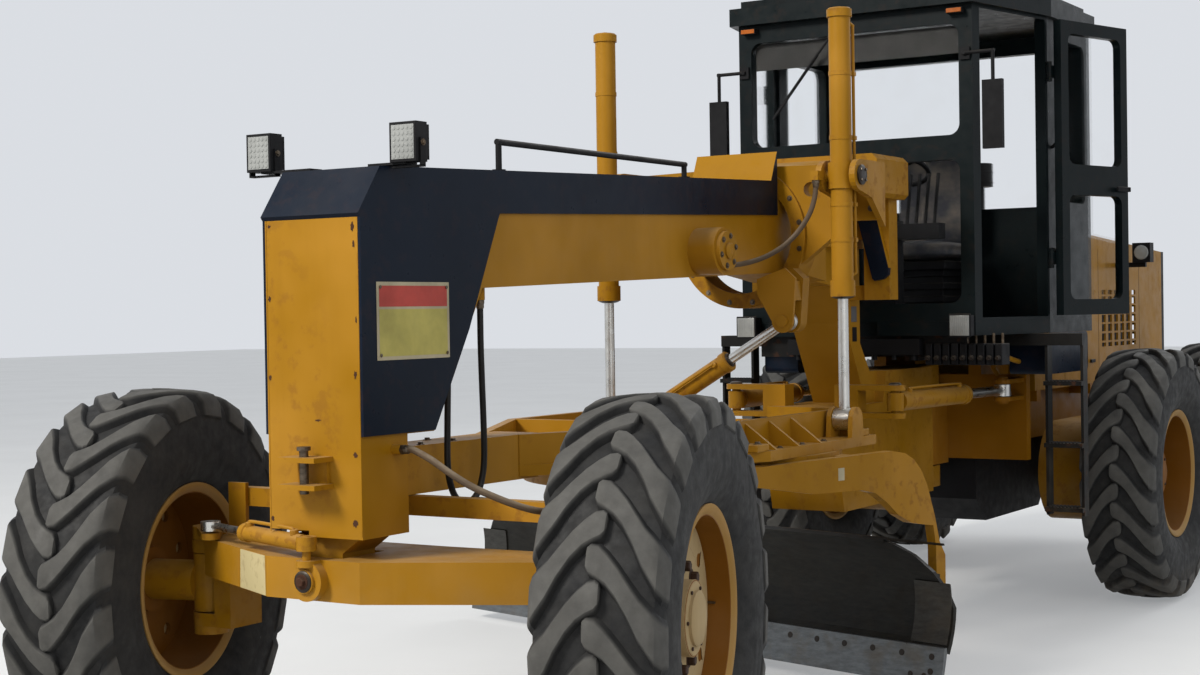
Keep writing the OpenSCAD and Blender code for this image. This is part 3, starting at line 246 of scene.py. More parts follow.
def paint(name, base, dust=0.35, chips=0.4, gloss=0.4, mud_height=1.0, dark_part=None, shine=0.12, riser=None):
    """Uneven sun-bleached paint, dust on what looks up, mud below mud_height, chips at the edges."""
    s = Shader(name)
    bleached = tuple(min(1, c * 1.1 + 0.04 * max(base)) for c in base)
    colour = s.mix(s.cloud(0.35, 0.65, 1.6, 3), shade(base, 0.86), bleached)
    streaks = s.ramp(s.noise(7, 4, 0.6, (1, 1, 0.1)), 0.55, 0.8)
    colour = s.mix(s.times(streaks, 0.2), colour, shade(base, 0.55))
    if dark_part:
        high = s.ramp(s.height(), DARK_FROM_Z, DARK_FROM_Z + 0.004)
        side = s.ramp(s.apart(), DARK_FROM_X, DARK_FROM_X + 0.002)
        colour = s.mix(s.most(high, side), colour, dark_part)
    if riser:
        rise = at(0, COWL_RISE, 0).y
        back = s.ramp(s.place()["Y"], rise - 0.0005, rise + 0.0005)
        colour = s.mix(s.times(back, s.maths("GREATER_THAN", s.upward(), 0.01)), colour, riser)
    mud = s.times(s.ramp(s.height(), mud_height, 0.2), s.cloud(0.42, 0.75, 5, 5))
    lying = s.times(s.upward(), s.cloud(0.3, 0.65, 4, 4))
    dusty = s.times(s.most(mud, lying), dust)
    colour = s.mix(dusty, colour, DUST)
    chipped = s.times(s.edges(0.54, 0.62), s.cloud(0.54, 0.64, 19, 4))
    spots = s.cloud(0.785, 0.8, 27, 2)
    chipped = s.times(s.most(chipped, s.times(spots, 0.7)), chips)
    colour = s.mix(chipped, colour, RUST)
    rough = s.maths("ADD", s.times(s.most(dusty, chipped), 0.4),
                    s.ramp(s.noise(14, 3), 0.3, 0.7, gloss - 0.08, gloss + 0.1))
    s.bump(s.maths("ADD", s.times(s.noise(60, 3), 0.5), s.times(chipped, -0.5)), 0.16)
    return s.finish(colour, rough, shine=shine)


def rubber(name):
    """Rubber, dark in the grooves, grey and scuffed on the lugs' tops, dusty, and muddy below."""
    s = Shader(name)
    colour = s.mix(s.cloud(0.3, 0.7, 6, 5), (0.007, 0.0075, 0.0085), (0.018, 0.018, 0.018))
    dust = s.times(s.cloud(0.4, 0.75, 9, 6, 0.7), 0.3)
    colour = s.mix(dust, colour, (0.055, 0.052, 0.046))
    worn = s.times(s.mark("worn"), s.ramp(s.noise(13, 5), 0.2, 0.7, 0.45, 0.95))
    colour = s.mix(worn, colour, (0.095, 0.093, 0.086))
    mud = s.times(s.ramp(s.height(), 0.2, 0.0), s.cloud(0.35, 0.65, 16, 4))
    colour = s.mix(s.times(mud, 0.6), colour, (0.16, 0.13, 0.095))
    grain, dents = s.times(s.noise(120, 4), 0.5), s.times(s.noise(22, 3), 0.7)
    s.bump(s.maths("ADD", grain, dents), 0.35, 0.003)
    return s.finish(colour, s.ramp(s.noise(25, 3), 0.3, 0.7, 0.62, 0.88), shine=0.3)


def worn_steel(name, base=(0.2, 0.195, 0.19), rust=0.35, metal=0.75, soil=1.0, grain=0.5):
    """Steel ground by soil, with fine scratches along it, a brown film and dry soil."""
    s = Shader(name)
    scratches = s.noise(60, 4, 0.7, (0.06, 1, 1))
    colour = s.mix(s.ramp(scratches, 0.35, 0.65), shade(base, 1 - grain), shade(base, 1 + grain))
    film = s.times(s.cloud(0.42, 0.68, 3.5, 5), rust)
    colour = s.mix(film, colour, shade((0.12, 0.075, 0.04), soil))
    dry = s.times(s.cloud(0.5, 0.7, 8, 5), 0.5)
    colour = s.mix(dry, colour, shade((0.3, 0.25, 0.19), soil))
    s.bump(s.noise(45, 4, 0.6, (0.1, 1, 1)), 0.25)
    return s.finish(colour, s.ramp(s.maths("ADD", film, dry), 0, 0.8, 0.32, 0.75), metal, 0.2)


def chrome(name):
    """Hard-chromed rod, dulled by dust in places."""
    s = Shader(name)
    colour = s.mix(s.cloud(0.5, 0.75, 12, 4), (0.62, 0.61, 0.58), (0.5, 0.47, 0.42))
    s.bump(s.noise(90, 2), 0.02)
    return s.finish(colour, s.ramp(s.noise(20, 3), 0.35, 0.75, 0.24, 0.38), metal=1.0)


def moulded(name, base, rough=0.5, dust=0.2, shine=0.25):
    """Plastic or matt black metal with a fine grain and a little dust."""
    s = Shader(name)
    colour = s.mix(s.cloud(0.3, 0.7, 5, 4), shade(base, 0.75), shade(base, 1.3))
    lying = s.times(s.times(s.upward(), s.cloud(0.3, 0.6, 8, 4)), dust)
    colour = s.mix(lying, colour, DUST)
    s.bump(s.noise(240, 2), 0.2, 0.001)
    return s.finish(colour, s.ramp(s.noise(18, 3), 0.3, 0.7, rough - 0.06, rough + 0.12), shine=shine)


def glass(name):
    """Thin clear pane with a faint film of dust."""
    s = Shader(name)
    s.feed(s.surface, **{"Transmission Weight": 1.0, "IOR": 1.02, "Alpha": 0.16})
    film = s.cloud(0.5, 0.8, 4, 5)
    s.bump(s.noise(30, 2), 0.01)
    return s.finish(s.mix(film, (0.93, 0.97, 0.98), (0.75, 0.75, 0.72)), s.ramp(film, 0, 1, 0.02, 0.12))


def cloth(name, base):
    """Ribbed seat cloth with some dust in it."""
    s = Shader(name)
    weave = s.add("TexWave", wave_type="BANDS", bands_direction="X")
    s.feed(weave, Scale=160, Vector=s.where)
    colour = s.mix(weave.outputs["Fac"], shade(base, 0.7), shade(base, 1.35))
    colour = s.mix(s.times(s.cloud(0.45, 0.7, 6, 4), 0.3), colour, DUST)
    s.bump(weave.outputs["Fac"], 0.3, 0.001)
    return s.finish(colour, 0.9)


YELLOW = (0.345, 0.162, 0.004)
MATS = {
    "yellow": paint("yellow_paint", YELLOW),
    "rear": paint("rear_frame_paint", (0.31, 0.128, 0.004), dust=0.35, dark_part=(0.01, 0.0095, 0.009)),
    # Rim paint is darker than the yellow: painted shade for the wheel dishes, with dust and chips on top
    "rim": paint("rim_paint_painted_shade", (0.19, 0.07, 0.003), dust=0.15, chips=0.4, gloss=0.5),
    # Lip paint is lighter than the rim paint: painted light on the sunlit flanges, with dust and chips
    "lip": paint("rim_lip_painted_light", (0.34, 0.19, 0.045), dust=0.4, chips=0.5, gloss=0.5),
    "hub": paint("hub_paint", (0.42, 0.31, 0.16), dust=0.4, chips=0.6, gloss=0.6, mud_height=0.3),
    "navy": paint("navy_paint", (0.0042, 0.0092, 0.02), dust=0.04, chips=0.05, gloss=0.34, shine=0.1, riser=YELLOW),
    "cab": paint("cab_paint", (0.0045, 0.0082, 0.0092), dust=0.03, chips=0.04, gloss=0.34, shine=0.1),
    "cream": paint("cream_patch", (0.5, 0.42, 0.22), dust=0.3, chips=0.3, gloss=0.6, mud_height=0.7),
    "black": moulded("black_metal", (0.008, 0.008, 0.009), 0.5, 0.12, 0.15),
    "plastic": moulded("black_plastic", (0.007, 0.007, 0.008), 0.6, 0.12, 0.15),
    "band": moulded("visor_band", (0.02, 0.0195, 0.018), 0.5, 0.0),
    "red": moulded("sign_red", (0.42, 0.06, 0.045), 0.45, 0.1),
    "sign": moulded("sign_yellow", (0.42, 0.37, 0.1), 0.45, 0.1),
    "white": moulded("sign_white", (0.42, 0.37, 0.25), 0.5, 0.15),
    "grey": moulded("label_grey", (0.12, 0.12, 0.13), 0.4, 0.15),
    "orange": moulded("lens_orange", (0.4, 0.1, 0.01), 0.2, 0.1),
    "lens": moulded("lamp_lens", (0.3, 0.31, 0.3), 0.15, 0.05, 0.5),
    "rust": moulded("rust_mark", (0.05, 0.02, 0.01), 0.85, 0.1),
    "grease": moulded("greasy_metal", (0.02, 0.014, 0.01), 0.35, 0.3),
    "nut": moulded("rusty_nut", (0.035, 0.016, 0.009), 0.6, 0.1),
    "rubber": rubber("tyre_rubber"),
    "hose": moulded("hose_rubber", (0.009, 0.0085, 0.008), 0.45, 0.2),
    "brown": moulded("dusty_hose_rubber", (0.09, 0.06, 0.036), 0.6, 0.6),
    # The blade's near-black steel colour is painted shade; the soil film and scratches on it are real wear
    "steel": worn_steel("blade_steel_painted_shade", (0.009, 0.0085, 0.0065), 0.3, 0.2, 0.07),
    "plate": worn_steel("blade_end_steel", (0.045, 0.044, 0.04), 0.25, 0.6, 0.25, 0.25),
    "edge": worn_steel("edge_steel", (0.14, 0.15, 0.155), 0.1, 0.6, 0.5, 0.2),
    "bolt": worn_steel("bolt_steel", (0.1, 0.08, 0.06), 0.5),
    "chrome": chrome("rod_chrome"),
    "glass": glass("cab_glass"),
    "cloth": cloth("seat_cloth", (0.03, 0.032, 0.04)),
}

# What each CAD node is made of, where it isn't yellow, a tyre or a rim
NODE_MATERIAL = {
    "navy": "nose_cowl side_boxes",
    "cab": "cab_floor cab_frame cab_roof door_left door_right",
    "glass": "cab_glass door_glass_left door_glass_right",
    "black": "engine_block transmission rear_grille lamps lamps_and_rail exhaust_and_intake cab_pipes",
    "hose": "hose_beam hose_loop hose_axle",
    "rear": "rear_frame",
    "plastic": "mirrors steering_console",
    "steel": "blade",
    "edge": "cutting_edge",
    "chrome": "steer_rod lift_rods shift_rod turn_rod_left turn_rod_right",
    "cloth": "seat",
}


def dress_nodes():
    kind_of = {n: kind for kind, names in NODE_MATERIAL.items() for n in names.split()}
    by_first_word = {"tyre": "rubber", "rim": "rim"}
    for name, o in nodes.items():
        kind = kind_of.get(name) or by_first_word.get(name.split("_")[0], "yellow")
        o.data.materials.clear()
        o.data.materials.append(MATS[kind])


# Meshes
def new_object(name, bm, material, body, smooth=False):
    mesh = bpy.data.meshes.new(name)
    bm.normal_update()
    bm.to_mesh(mesh)
    bm.free()
    for p in mesh.polygons:
        p.use_smooth = smooth
    mesh.materials.append(MATS[material])
    o = bpy.data.objects.new(name, mesh)
    link(o)
    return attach(o, body)


# Tyres: outer size from the frame, and the height and number of lugs on each half
tyre_low, tyre_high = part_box("tyre_left_mid")
TYRE_R, TYRE_W = tyre_high.z / 2, tyre_high.x - tyre_low.x
LUG, LUGS = 0.03, 21
# The tread's share of the profile, what it leaves to the shoulder, and how much it drops there
CROWN_SHARE, SHOULDER, CROWN_DROP = 0.4, 0.045, 0.012
# Depth of the bead under the tread's top, and how far the sidewall bulges
BEAD_DEPTH, BULGE = 0.352, 0.043
# Turn of the front wheels at rest, in degrees
STEER = 14


def tyre_profile(t):
    """Point (axial, radius) of the carcass and its outward normal for t from 0 at the crown to 1 at the bead."""
    half = TYRE_W / 2
    if t < CROWN_SHARE:
        u = t / CROWN_SHARE
        crown = Vector((u * (half - SHOULDER), TYRE_R - LUG - CROWN_DROP * u * u))
        return crown, Vector((0.06 * u, 1)).normalized()
    u = (t - CROWN_SHARE) / (1 - CROWN_SHARE)
    a = radians(90 - 158 * u)
    low, high = TYRE_R - BEAD_DEPTH, TYRE_R - LUG - CROWN_DROP
    mid, reach = (low + high) / 2, (high - low) / 2
    x = half - SHOULDER + BULGE * max(cos(a), 0) ** 0.6 - 0.03 * max(0, u - 0.62) / 0.38
    z = mid + reach * sin(a) if a > 0 else mid - reach * abs(sin(a)) ** 0.9
    n = Vector((max(cos(a), 0.12), sin(a) * 0.8))
    return Vector((x, z)), n.normalized()


def tyre_mesh():
    """Carcass turned round X, with a row of lugs on each half, half a pitch apart."""
    bm = bmesh.new()
    worn = bm.verts.layers.float.new("worn")
    turns, steps = 144, 22
    half = [tyre_profile(i / steps)[0] for i in range(steps + 1)]
    section = [(-p.x, p.y) for p in reversed(half[1:])] + [(p.x, p.y) for p in half]
    rows = []
    for k in range(turns):
        a = 2 * pi * k / turns
        rows.append([bm.verts.new((x, -r * sin(a), r * cos(a))) for x, r in section])
    for here, there in zip(rows, rows[1:] + rows[:1]):
        for i in range(len(section) - 1):
            bm.faces.new((here[i], here[i + 1], there[i + 1], there[i]))
    for side, ahead in ((1, 0), (-1, 0.5)):
        for k in range(LUGS):
            add_lug(bm, side, 2 * pi * (k + ahead) / LUGS, chance.uniform(-0.002, 0.002), worn)
    bmesh.ops.recalc_face_normals(bm, faces=bm.faces)
    return bm


# Course of a lug: place t on the profile, angle in lug pitches, half width in metres, share of the height
LUG_COURSE = [(-0.062, -0.03, 0.014, 0.7), (-0.055, -0.02, 0.029, 0.9), (-0.03, 0.0, 0.04, 1.0),
              (0.03, 0.04, 0.044, 1.0), (0.1, 0.14, 0.041, 1.0), (0.18, 0.31, 0.041, 1.0), (0.27, 0.56, 0.045, 1.0),
              (0.345, 0.8, 0.053, 1.0), (0.405, 0.97, 0.059, 0.97), (0.45, 1.07, 0.062, 0.9),
              (0.52, 1.16, 0.06, 0.66), (0.6, 1.21, 0.055, 0.3)]
# Section of a lug: share of its half width, share of its height, and whether it is worn there
LUG_SECTION = [(1.36, -0.12, 0), (1.12, 0.6, 0), (1.0, 0.88, 0.5), (0.86, 1.0, 1), (-0.86, 1.0, 1), (-1.0, 0.88, 0.5),
               (-1.12, 0.6, 0), (-1.36, -0.12, 0)]


def add_lug(bm, side, start, wear, worn):
    """One lug from the angle start; worn is the layer that marks its top."""
    pitch = 2 * pi / LUGS
    sections = []
    for t, turn, half, share in LUG_COURSE:
        p, n = tyre_profile(abs(t))
        across = 1 if t >= 0 else -1
        lift = (LUG - 0.003 + wear) * share
        row = []
        for wide, high, mark in LUG_SECTION:
            px, pr = across * (p.x + n.x * lift * high), p.y + n.y * lift * high
            b = start + turn * pitch + wide * half / pr
            v = bm.verts.new((side * px, -pr * sin(b), pr * cos(b)))
            v[worn] = mark
            row.append(v)
        sections.append(row)
    for s0, s1 in zip(sections, sections[1:]):
        for i in range(len(LUG_SECTION) - 1):
            bm.faces.new((s0[i], s0[i + 1], s1[i + 1], s1[i]))
    bm.faces.new(sections[0])
    bm.faces.new(list(reversed(sections[-1])))


def make_tyres():
    for side, about_face in (("left", 0), ("right", 180)):
        for place in ("front", "mid", "back"):
            node = f"tyre_{side}_{place}"
            low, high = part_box(node)
            bm = tyre_mesh()
            turn = Matrix.Rotation(radians((STEER if place == "front" else 0) + about_face), 4, "Z")
            spin = Matrix.Rotation(chance.uniform(0, 6), 4, "X")
            bm.transform(Matrix.Translation((low + high) / 2) @ turn @ spin)
            o = new_object(f"tread_{side}_{place}", bm, "rubber", f"wheel_{side}_{place}", smooth=True)
            o.modifiers.new("edges", "EDGE_SPLIT").split_angle = radians(34)
            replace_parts(o, node)


# Small pieces, one mesh for each material and body
FRONT, REAR = "chassis_front", "chassis_rear"
gathered = {}


def group(material, body, smooth=False):
    return gathered.setdefault((material, body, smooth), bmesh.new())


def finish_groups():
    for (material, body, smooth), bm in sorted(gathered.items()):
        bmesh.ops.recalc_face_normals(bm, faces=bm.faces)
        o = new_object(f"{material}_trim_{body}{'_round' if smooth else ''}", bm, material, body, smooth)
        if smooth:
            o.modifiers.new("edges", "EDGE_SPLIT").split_angle = radians(40)


# Directions, ranges and rings
UP, AHEAD = (0, 0, 1), (0, -1, 0)
BOTH = (-1, 1)


def facing(place, axis, spin=0.0):
    """A frame at place whose Z looks along axis."""
    turn = Vector(axis).to_track_quat("Z", "Y").to_matrix().to_4x4()
    return Matrix.Translation(place) @ turn @ Matrix.Rotation(spin, 4, "Z")


def about(middle, half):
    return middle - half, middle + half


def span(side, a, b):
    """The range from a to b on one side of the centre plane, its lower end first."""
    return sorted((side * a, side * b))


def ring(count, r, start=0.0):
    """Points (across, up) evenly spaced on a circle of radius r, from the angle start in degrees."""
    angles = [radians(start + 360 * k / count) for k in range(count)]
    return [(r * cos(a), r * sin(a)) for a in angles]


# Forms
def skin(g, rows, closed=True):
    """Faces between loops of vertices; closed also fills the first and the last."""
    n = len(rows[0])
    for a, b in zip(rows, rows[1:]):
        for k in range(n):
            g.faces.new((a[k], a[(k + 1) % n], b[(k + 1) % n], b[k]))
    if closed:
        g.faces.new(rows[-1])
        g.faces.new(list(reversed(rows[0])))


def lathe(g, m, profile, sides=24, closed=True):
    """Turned piece in frame m; the profile is (radius, height) pairs from its foot to its top."""
    skin(g, [[g.verts.new(m @ Vector((u, w, h))) for u, w in ring(sides, r)] for r, h in profile], closed)


def knob(g, place, axis, profile, sides=24):
    """Turned piece at a place given as (x, s, z), along axis."""
    lathe(g, facing(at(*place), axis), profile, sides)


def block(g, x, y, z, soft=0.0, m=None):
    """Box between three ranges, in frame m or the machine's own, its edges rounded by soft."""
    made = bmesh.ops.create_cube(g, size=1)["verts"]
    for v in made:
        v.co = Vector([(r[0] + r[1]) / 2 + c * (r[1] - r[0]) for r, c in zip((x, y, z), v.co)])
        v.co = (m @ v.co) if m else at(*v.co)
    if soft:
        edges = list({e for v in made for e in v.link_edges})
        bmesh.ops.bevel(g, geom=edges, offset=soft, segments=2, affect="EDGES", profile=0.5)


def bolt(g, place, axis, r=0.012, h=0.009, spin=0.3, washer=True):
    """Six-sided head of radius r and height h on a round washer."""
    m = facing(place, axis, spin)
    if washer:
        lathe(g, m, [(r * 1.55, 0), (r * 1.5, 0.0025)], 16)
    lathe(g, m, [(r, 0.002), (r, h * 0.85), (r * 0.85, h)], 6)


def bolt_circle(g, m, count, circle, height, r, h, start=0.0, washer=True):
    """Bolts along the Z of frame m, on a circle at that height."""
    for u, w in ring(count, circle, start):
        bolt(g, m @ Vector((u, w, height)), m.to_3x3() @ Vector(UP), r, h, washer=washer)


def smooth_line(points, steps=6):
    """Points on one smooth curve through the given ones."""
    p = [Vector(q) for q in points]
    p = [2 * p[0] - p[1]] + p + [2 * p[-1] - p[-2]]
    line = []
    for i in range(1, len(p) - 2):
        u, w = (p[i + 1] - p[i - 1]) / 2, (p[i + 2] - p[i]) / 2
        for k in range(steps):
            f = k / steps
            line.append(p[i] + u * f + (3 * (p[i + 1] - p[i]) - 2 * u - w) * f * f
                        + (2 * (p[i] - p[i + 1]) + u + w) * f ** 3)
    return line + [p[-2]]


def tube(g, points, r, sides=12):
    """Round bar of radius r along the points, closed at both ends."""
    rows, across = [], None
    for i, p in enumerate(points):
        d = (points[min(i + 1, len(points) - 1)] - points[max(i - 1, 0)]).normalized()
        if across is None:
            across = d.orthogonal().normalized()
        across = (across - across.dot(d) * d).normalized()
        other = d.cross(across)
        rows.append([g.verts.new(p + across * u + other * w) for u, w in ring(sides, r)])
    skin(g, rows)


def patch(g, m, wide, high, ragged=0.35, points=18, thick=0.0006):
    """Thin flat mark in the XY plane of frame m, with a ragged outline."""
    rim = []
    for k in range(points):
        a = 2 * pi * k / points
        f = 1 - ragged * chance.random()
        rim.append((wide / 2 * f * cos(a), high / 2 * f * sin(a)))
    skin(g, [[g.verts.new(m @ Vector((x, y, z))) for x, y in rim] for z in (0, thick)])


# Nose, beam and front axle
NOSE_FRONT, NOSE_SIDE = -0.35, 0.2
# Work lamps on the nose: x and height of each
LAMPS = ((0.27, 2.12), (-0.33, 2.12))
# Blank sign on each side of the nose, and the width of its rim
SIGN_S, SIGN_Z, SIGN_RIM = (-0.278, 0.096), (1.472, 1.718), 0.012
# Rust marks on the nose's front: x, z, width, height
NOSE_RUST = [(0.169, 1.888, 0.016, 0.04), (0.172, 1.835, 0.012, 0.03), (0.171, 1.43, 0.014, 0.034),
             (0.018, 1.287, 0.03, 0.008), (-0.176, 1.67, 0.014, 0.022), (0.166, 1.183, 0.02, 0.022),
             (0.162, 0.97, 0.022, 0.03), (-0.178, 0.972, 0.018, 0.02), (-0.172, 1.9, 0.014, 0.014),
             (-0.178, 1.42, 0.012, 0.02), (0.178, 1.6, 0.008, 0.03), (-0.01, 1.16, 0.02, 0.012)]
# Drum on the beam's left side: the middle of its cap
DRUM_X, DRUM_S, DRUM_Z = 0.328, 1.81, 1.852
KING_X = 0.795
# Feet of the bending cylinders, and the axes of the lift cylinders
TURN_X, TURN_S = 0.42, 3.27
LIFT_X, LIFT_S = 0.58, 2.35


def dress_work_lamps():
    """Small lenses, cooling ribs and bracket of each lamp on the nose."""
    dark, lens = group("plastic", FRONT), group("lens", FRONT, True)
    bracket_s = (-0.205, -0.18)
    for x, z in LAMPS:
        block(dark, about(x, 0.052), (-0.2225, -0.2195), (z - 0.03, z + 0.095), 0.001)
        block(lens, about(x, 0.044), (-0.2235, -0.2215), (z - 0.021, z + 0.086))
        for i in range(5):
            for k in range(6):
                knob(lens, (x - 0.034 + i * 0.017, -0.2234, z - 0.012 + k * 0.0177), AHEAD,
                      [(0.0068, 0), (0.0064, 0.0015), (0.003, 0.002)], 10)
        for i in range(7):
            block(dark, about(x - 0.045 + i * 0.015, 0.0025), (-0.166, -0.148), (z - 0.022, z + 0.088))
        for side in BOTH:
            block(dark, sorted((x + side * 0.0525, x + side * 0.0575)), bracket_s, (z - 0.042, z + 0.045))
            bolt(group("bolt", FRONT), at(x + side * 0.0575, -0.1925, z + 0.03), (side, 0, 0), 0.007, 0.007)
        block(dark, about(x, 0.0575), bracket_s, (z - 0.046, z - 0.04))


def dress_sign(side):
    """Blank sign in two colours with a white rim, and a bolt in each corner."""
    inner, corner = (SIGN_S[0] + SIGN_RIM, SIGN_S[1] - SIGN_RIM), 0.016
    plate, field = NOSE_SIDE + 0.0018, NOSE_SIDE + 0.0024
    block(group("white", FRONT), span(side, NOSE_SIDE, plate), SIGN_S, SIGN_Z, 0.0006)
    block(group("red", FRONT), span(side, plate, field), inner, (1.64, SIGN_Z[1] - SIGN_RIM))
    block(group("sign", FRONT), span(side, plate, field), inner, (SIGN_Z[0] + SIGN_RIM, 1.632))
    for s in (SIGN_S[0] + corner, SIGN_S[1] - corner):
        for z in (SIGN_Z[0] + corner, SIGN_Z[1] - corner):
            bolt(group("bolt", FRONT), at(side * 0.2022, s, z), (side, 0, 0), 0.006, 0.004, washer=False)


def dress_nose():
    dress_work_lamps()
    for side in (1, -1):
        dress_sign(side)
    for x, z, wide, high in NOSE_RUST:
        patch(group("rust", FRONT), facing(at(x, NOSE_FRONT - 0.0001, z), AHEAD), wide, high, 0.5)
    # Welded edges of the front plate
    for side in BOTH:
        block(group("yellow", FRONT), span(side, 0.184, 0.1895), (-0.3515, -0.3495), (0.93, 1.918), 0.0008)
    # Tow pin with its head
    knob(group("bolt", FRONT), (0, -0.4, 1.06), UP,
          [(0.0145, 0), (0.0145, 0.135), (0.022, 0.136), (0.022, 0.148)], 20)


def dress_beam():
    metal, yellow = group("bolt", FRONT), group("yellow", FRONT, True)
    for u, w in ring(6, 0.062, 15):
        bolt(metal, at(DRUM_X, DRUM_S + u, DRUM_Z + w), (1, 0, 0), 0.008, 0.007)
    knob(yellow, (DRUM_X, DRUM_S, DRUM_Z), (1, 0, 0),
          [(0.034, 0), (0.034, 0.008), (0.028, 0.013), (0.01, 0.015)], 32)
    # Feet of the hand rail, on the cover's slope
    for s in (0.45, 1.75):
        top = 2.07 + 0.035 * (s + 0.25) + 0.0105
        knob(group("black", FRONT, True), (0.16, s, top), UP, [(0.024, 0), (0.024, 0.005)])
    # Blank labels on the leg's left side
    block(group("grey", FRONT), (0.1422, 0.1432), (3.4, 3.462), (1.545, 1.62))
    block(group("plastic", FRONT), (0.1422, 0.1436), (3.41, 3.46), (1.45, 1.52))
    # Bolts on the cross head and on the leg, and pins of the bending cylinders
    for x in (-0.33, -0.2, 0.2, 0.33):
        for z in (2.17, 2.27):
            bolt(metal, at(x, 3.09, z), AHEAD, 0.009, 0.008)
    for side in BOTH:
        for z in (1.78, 1.82):
            bolt(metal, at(side * 0.3, 3.3498, z), AHEAD, 0.008, 0.007)
        knob(metal, (side * TURN_X, TURN_S, 1.2475), UP, [(0.03, 0), (0.03, 0.008), (0.02, 0.012)], 24)


def dress_axle():
    # Cream patch on the slanted front face, right of the middle
    out = Vector((-0.4472, -0.8944, 0))
    corners = [(-0.405, 0.724), (-0.2, 0.7245), (-0.203, 0.852), (-0.401, 0.8515)]
    g = group("cream", FRONT)
    skin(g, [[g.verts.new(at(x, -0.37 - 0.5 * (x + 0.19), z) + out * gap) for x, z in corners]
             for gap in (0.0002, 0.001)])
    # Centre pin, and the left king pin's cap
    knob(group("grease", FRONT, True), (0, -0.4135, 0.788), AHEAD,
          [(0.034, 0), (0.034, 0.003), (0.03, 0.006), (0.024, 0.007)], 32)
    bolt(group("rust", FRONT), at(0, -0.42, 0.788), AHEAD, 0.016, 0.014)
    knob(group("yellow", FRONT, True), (KING_X, 0, 0.8355), UP, [(0.05, 0), (0.05, 0.007), (0.044, 0.011)],
          32)
    for u, w in ring(4, 0.035, 45):
        bolt(group("bolt", FRONT), at(KING_X + u, w, 0.846), UP, 0.006, 0.006)


def dress_yoke():
    """Caps on the lift cylinders' trunnions, and bolts on the fork plates and round the ring."""
    metal = group("bolt", FRONT)
    for side in BOTH:
        for x, way in ((0.67, side), (0.49, -side)):
            m = facing(at(side * x, LIFT_S, 2.17), (way, 0, 0))
            lathe(group("grease", FRONT, True), m, [(0.042, 0), (0.042, 0.008), (0.036, 0.012), (0.015, 0.013)], 28)
            bolt_circle(metal, m, 4, 0.031, 0.0115, 0.006, 0.006, 45, washer=False)
        for z in (2.04, 2.2):
            for x in (0.53, 0.62):
                bolt(metal, at(side * x, 2.56, z), AHEAD, 0.009, 0.008)
    for x, up in ring(16, 0.296, 11):
        z = 1.936 + up
        if z < 2.1 or abs(x) < 0.1:
            bolt(metal, at(x, 2.535, z), AHEAD, 0.008, 0.007)


# Cylinders: seals, collars, ports and pipes
def cylinder_trim(body, foot, top, tube_length, r, rod_r, port_side):
    foot, top = at(*foot), at(*top)
    way = (top - foot).normalized()
    end = foot + way * tube_length
    yellow = group("yellow", body, True)
    lathe(group("grease", body, True), facing(end, way), [(r * 0.8, 0), (r * 0.78, 0.004), (rod_r * 1.3, 0.01)], 32)
    lathe(yellow, facing(end - way * 0.035, way), [(r, 0), (r + 0.005, 0.002), (r + 0.005, 0.03), (r, 0.033)], 40,
          closed=False)
    side = Vector(port_side)
    side = (side - side.dot(way) * way).normalized()
    ends = []
    for share in (0.16, 0.88):
        p = foot + way * tube_length * share + side * (r - 0.004)
        lathe(yellow, facing(p, side), [(0.014, 0), (0.014, 0.016), (0.011, 0.018)], 16)
        ends.append(p + side * 0.014)
    line = [ends[0], ends[0] + way * 0.03 + side * 0.006, ends[1] - way * 0.03 + side * 0.006, ends[1]]
    tube(yellow, smooth_line(line, 5), 0.006, 10)


def lift_trim(side):
    """Pipe up a lift cylinder's barrel with its clips, the seal at its foot and the bolted cap."""
    body, x, top = "lift_cylinders", side * LIFT_X, 2.868
    yellow = group("yellow", body, True)
    far, near = ((x + side * 0.6 * r, LIFT_S + 0.8 * r) for r in (0.063, 0.046))
    line = [at(*near, 1.75), *(at(*far, z) for z in (1.765, 1.81, 2.3, 2.76, 2.8)), at(*near, 2.815)]
    tube(yellow, smooth_line(line, 5), 0.007, 10)
    for z in (1.9, 2.05, 2.33, 2.6):
        lathe(yellow, facing(at(x, LIFT_S, z - 0.009), UP),
              [(0.045, 0), (0.0485, 0), (0.0485, 0.018), (0.045, 0.018)], 32, closed=False)
        block(group("yellow", body), about(far[0], 0.01), (far[1] - 0.014, far[1] + 0.01), about(z, 0.009), 0.002)
    knob(group("grease", body, True), (x, LIFT_S, 1.652), UP, [(0.026, 0), (0.04, 0.004), (0.05, 0.01)], 32)
    knob(yellow, (x, LIFT_S, top), UP, [(0.05, 0), (0.046, 0.006), (0.012, 0.009), (0.012, 0.012)], 32)
    for u, w in ring(8, 0.04):
        bolt(group("bolt", body), at(x + u, LIFT_S + w, top), UP, 0.0045, 0.005, washer=False)


def turned(x, y, degrees):
    a = radians(degrees)
    return x * cos(a) - y * sin(a), x * sin(a) + y * cos(a)


def dress_cylinders():
    steer_z, turn_z = 0.905, 1.17
    ex, ey = turned(0.12, -0.2, STEER)
    cylinder_trim("steering_cylinder", (0, -0.395, steer_z), (ex - KING_X, ey, steer_z), 0.42, 0.026, 0.014,
                  (0, -0.2, 1))
    for side, name in ((1, "left"), (-1, "right")):
        cylinder_trim(f"turn_cylinder_{name}", (side * TURN_X, TURN_S, turn_z), (side * 0.5, 4.5, turn_z), 0.76,
                      0.046, 0.025, (side * 0.3, 0, 1))
    cylinder_trim("shift_cylinder", (-0.43, 2.45, 1.145), (0.27, 2.45, 1.56), 0.48, 0.042, 0.022, (0, -1, 0.3))
    for side in BOTH:
        lift_trim(side)


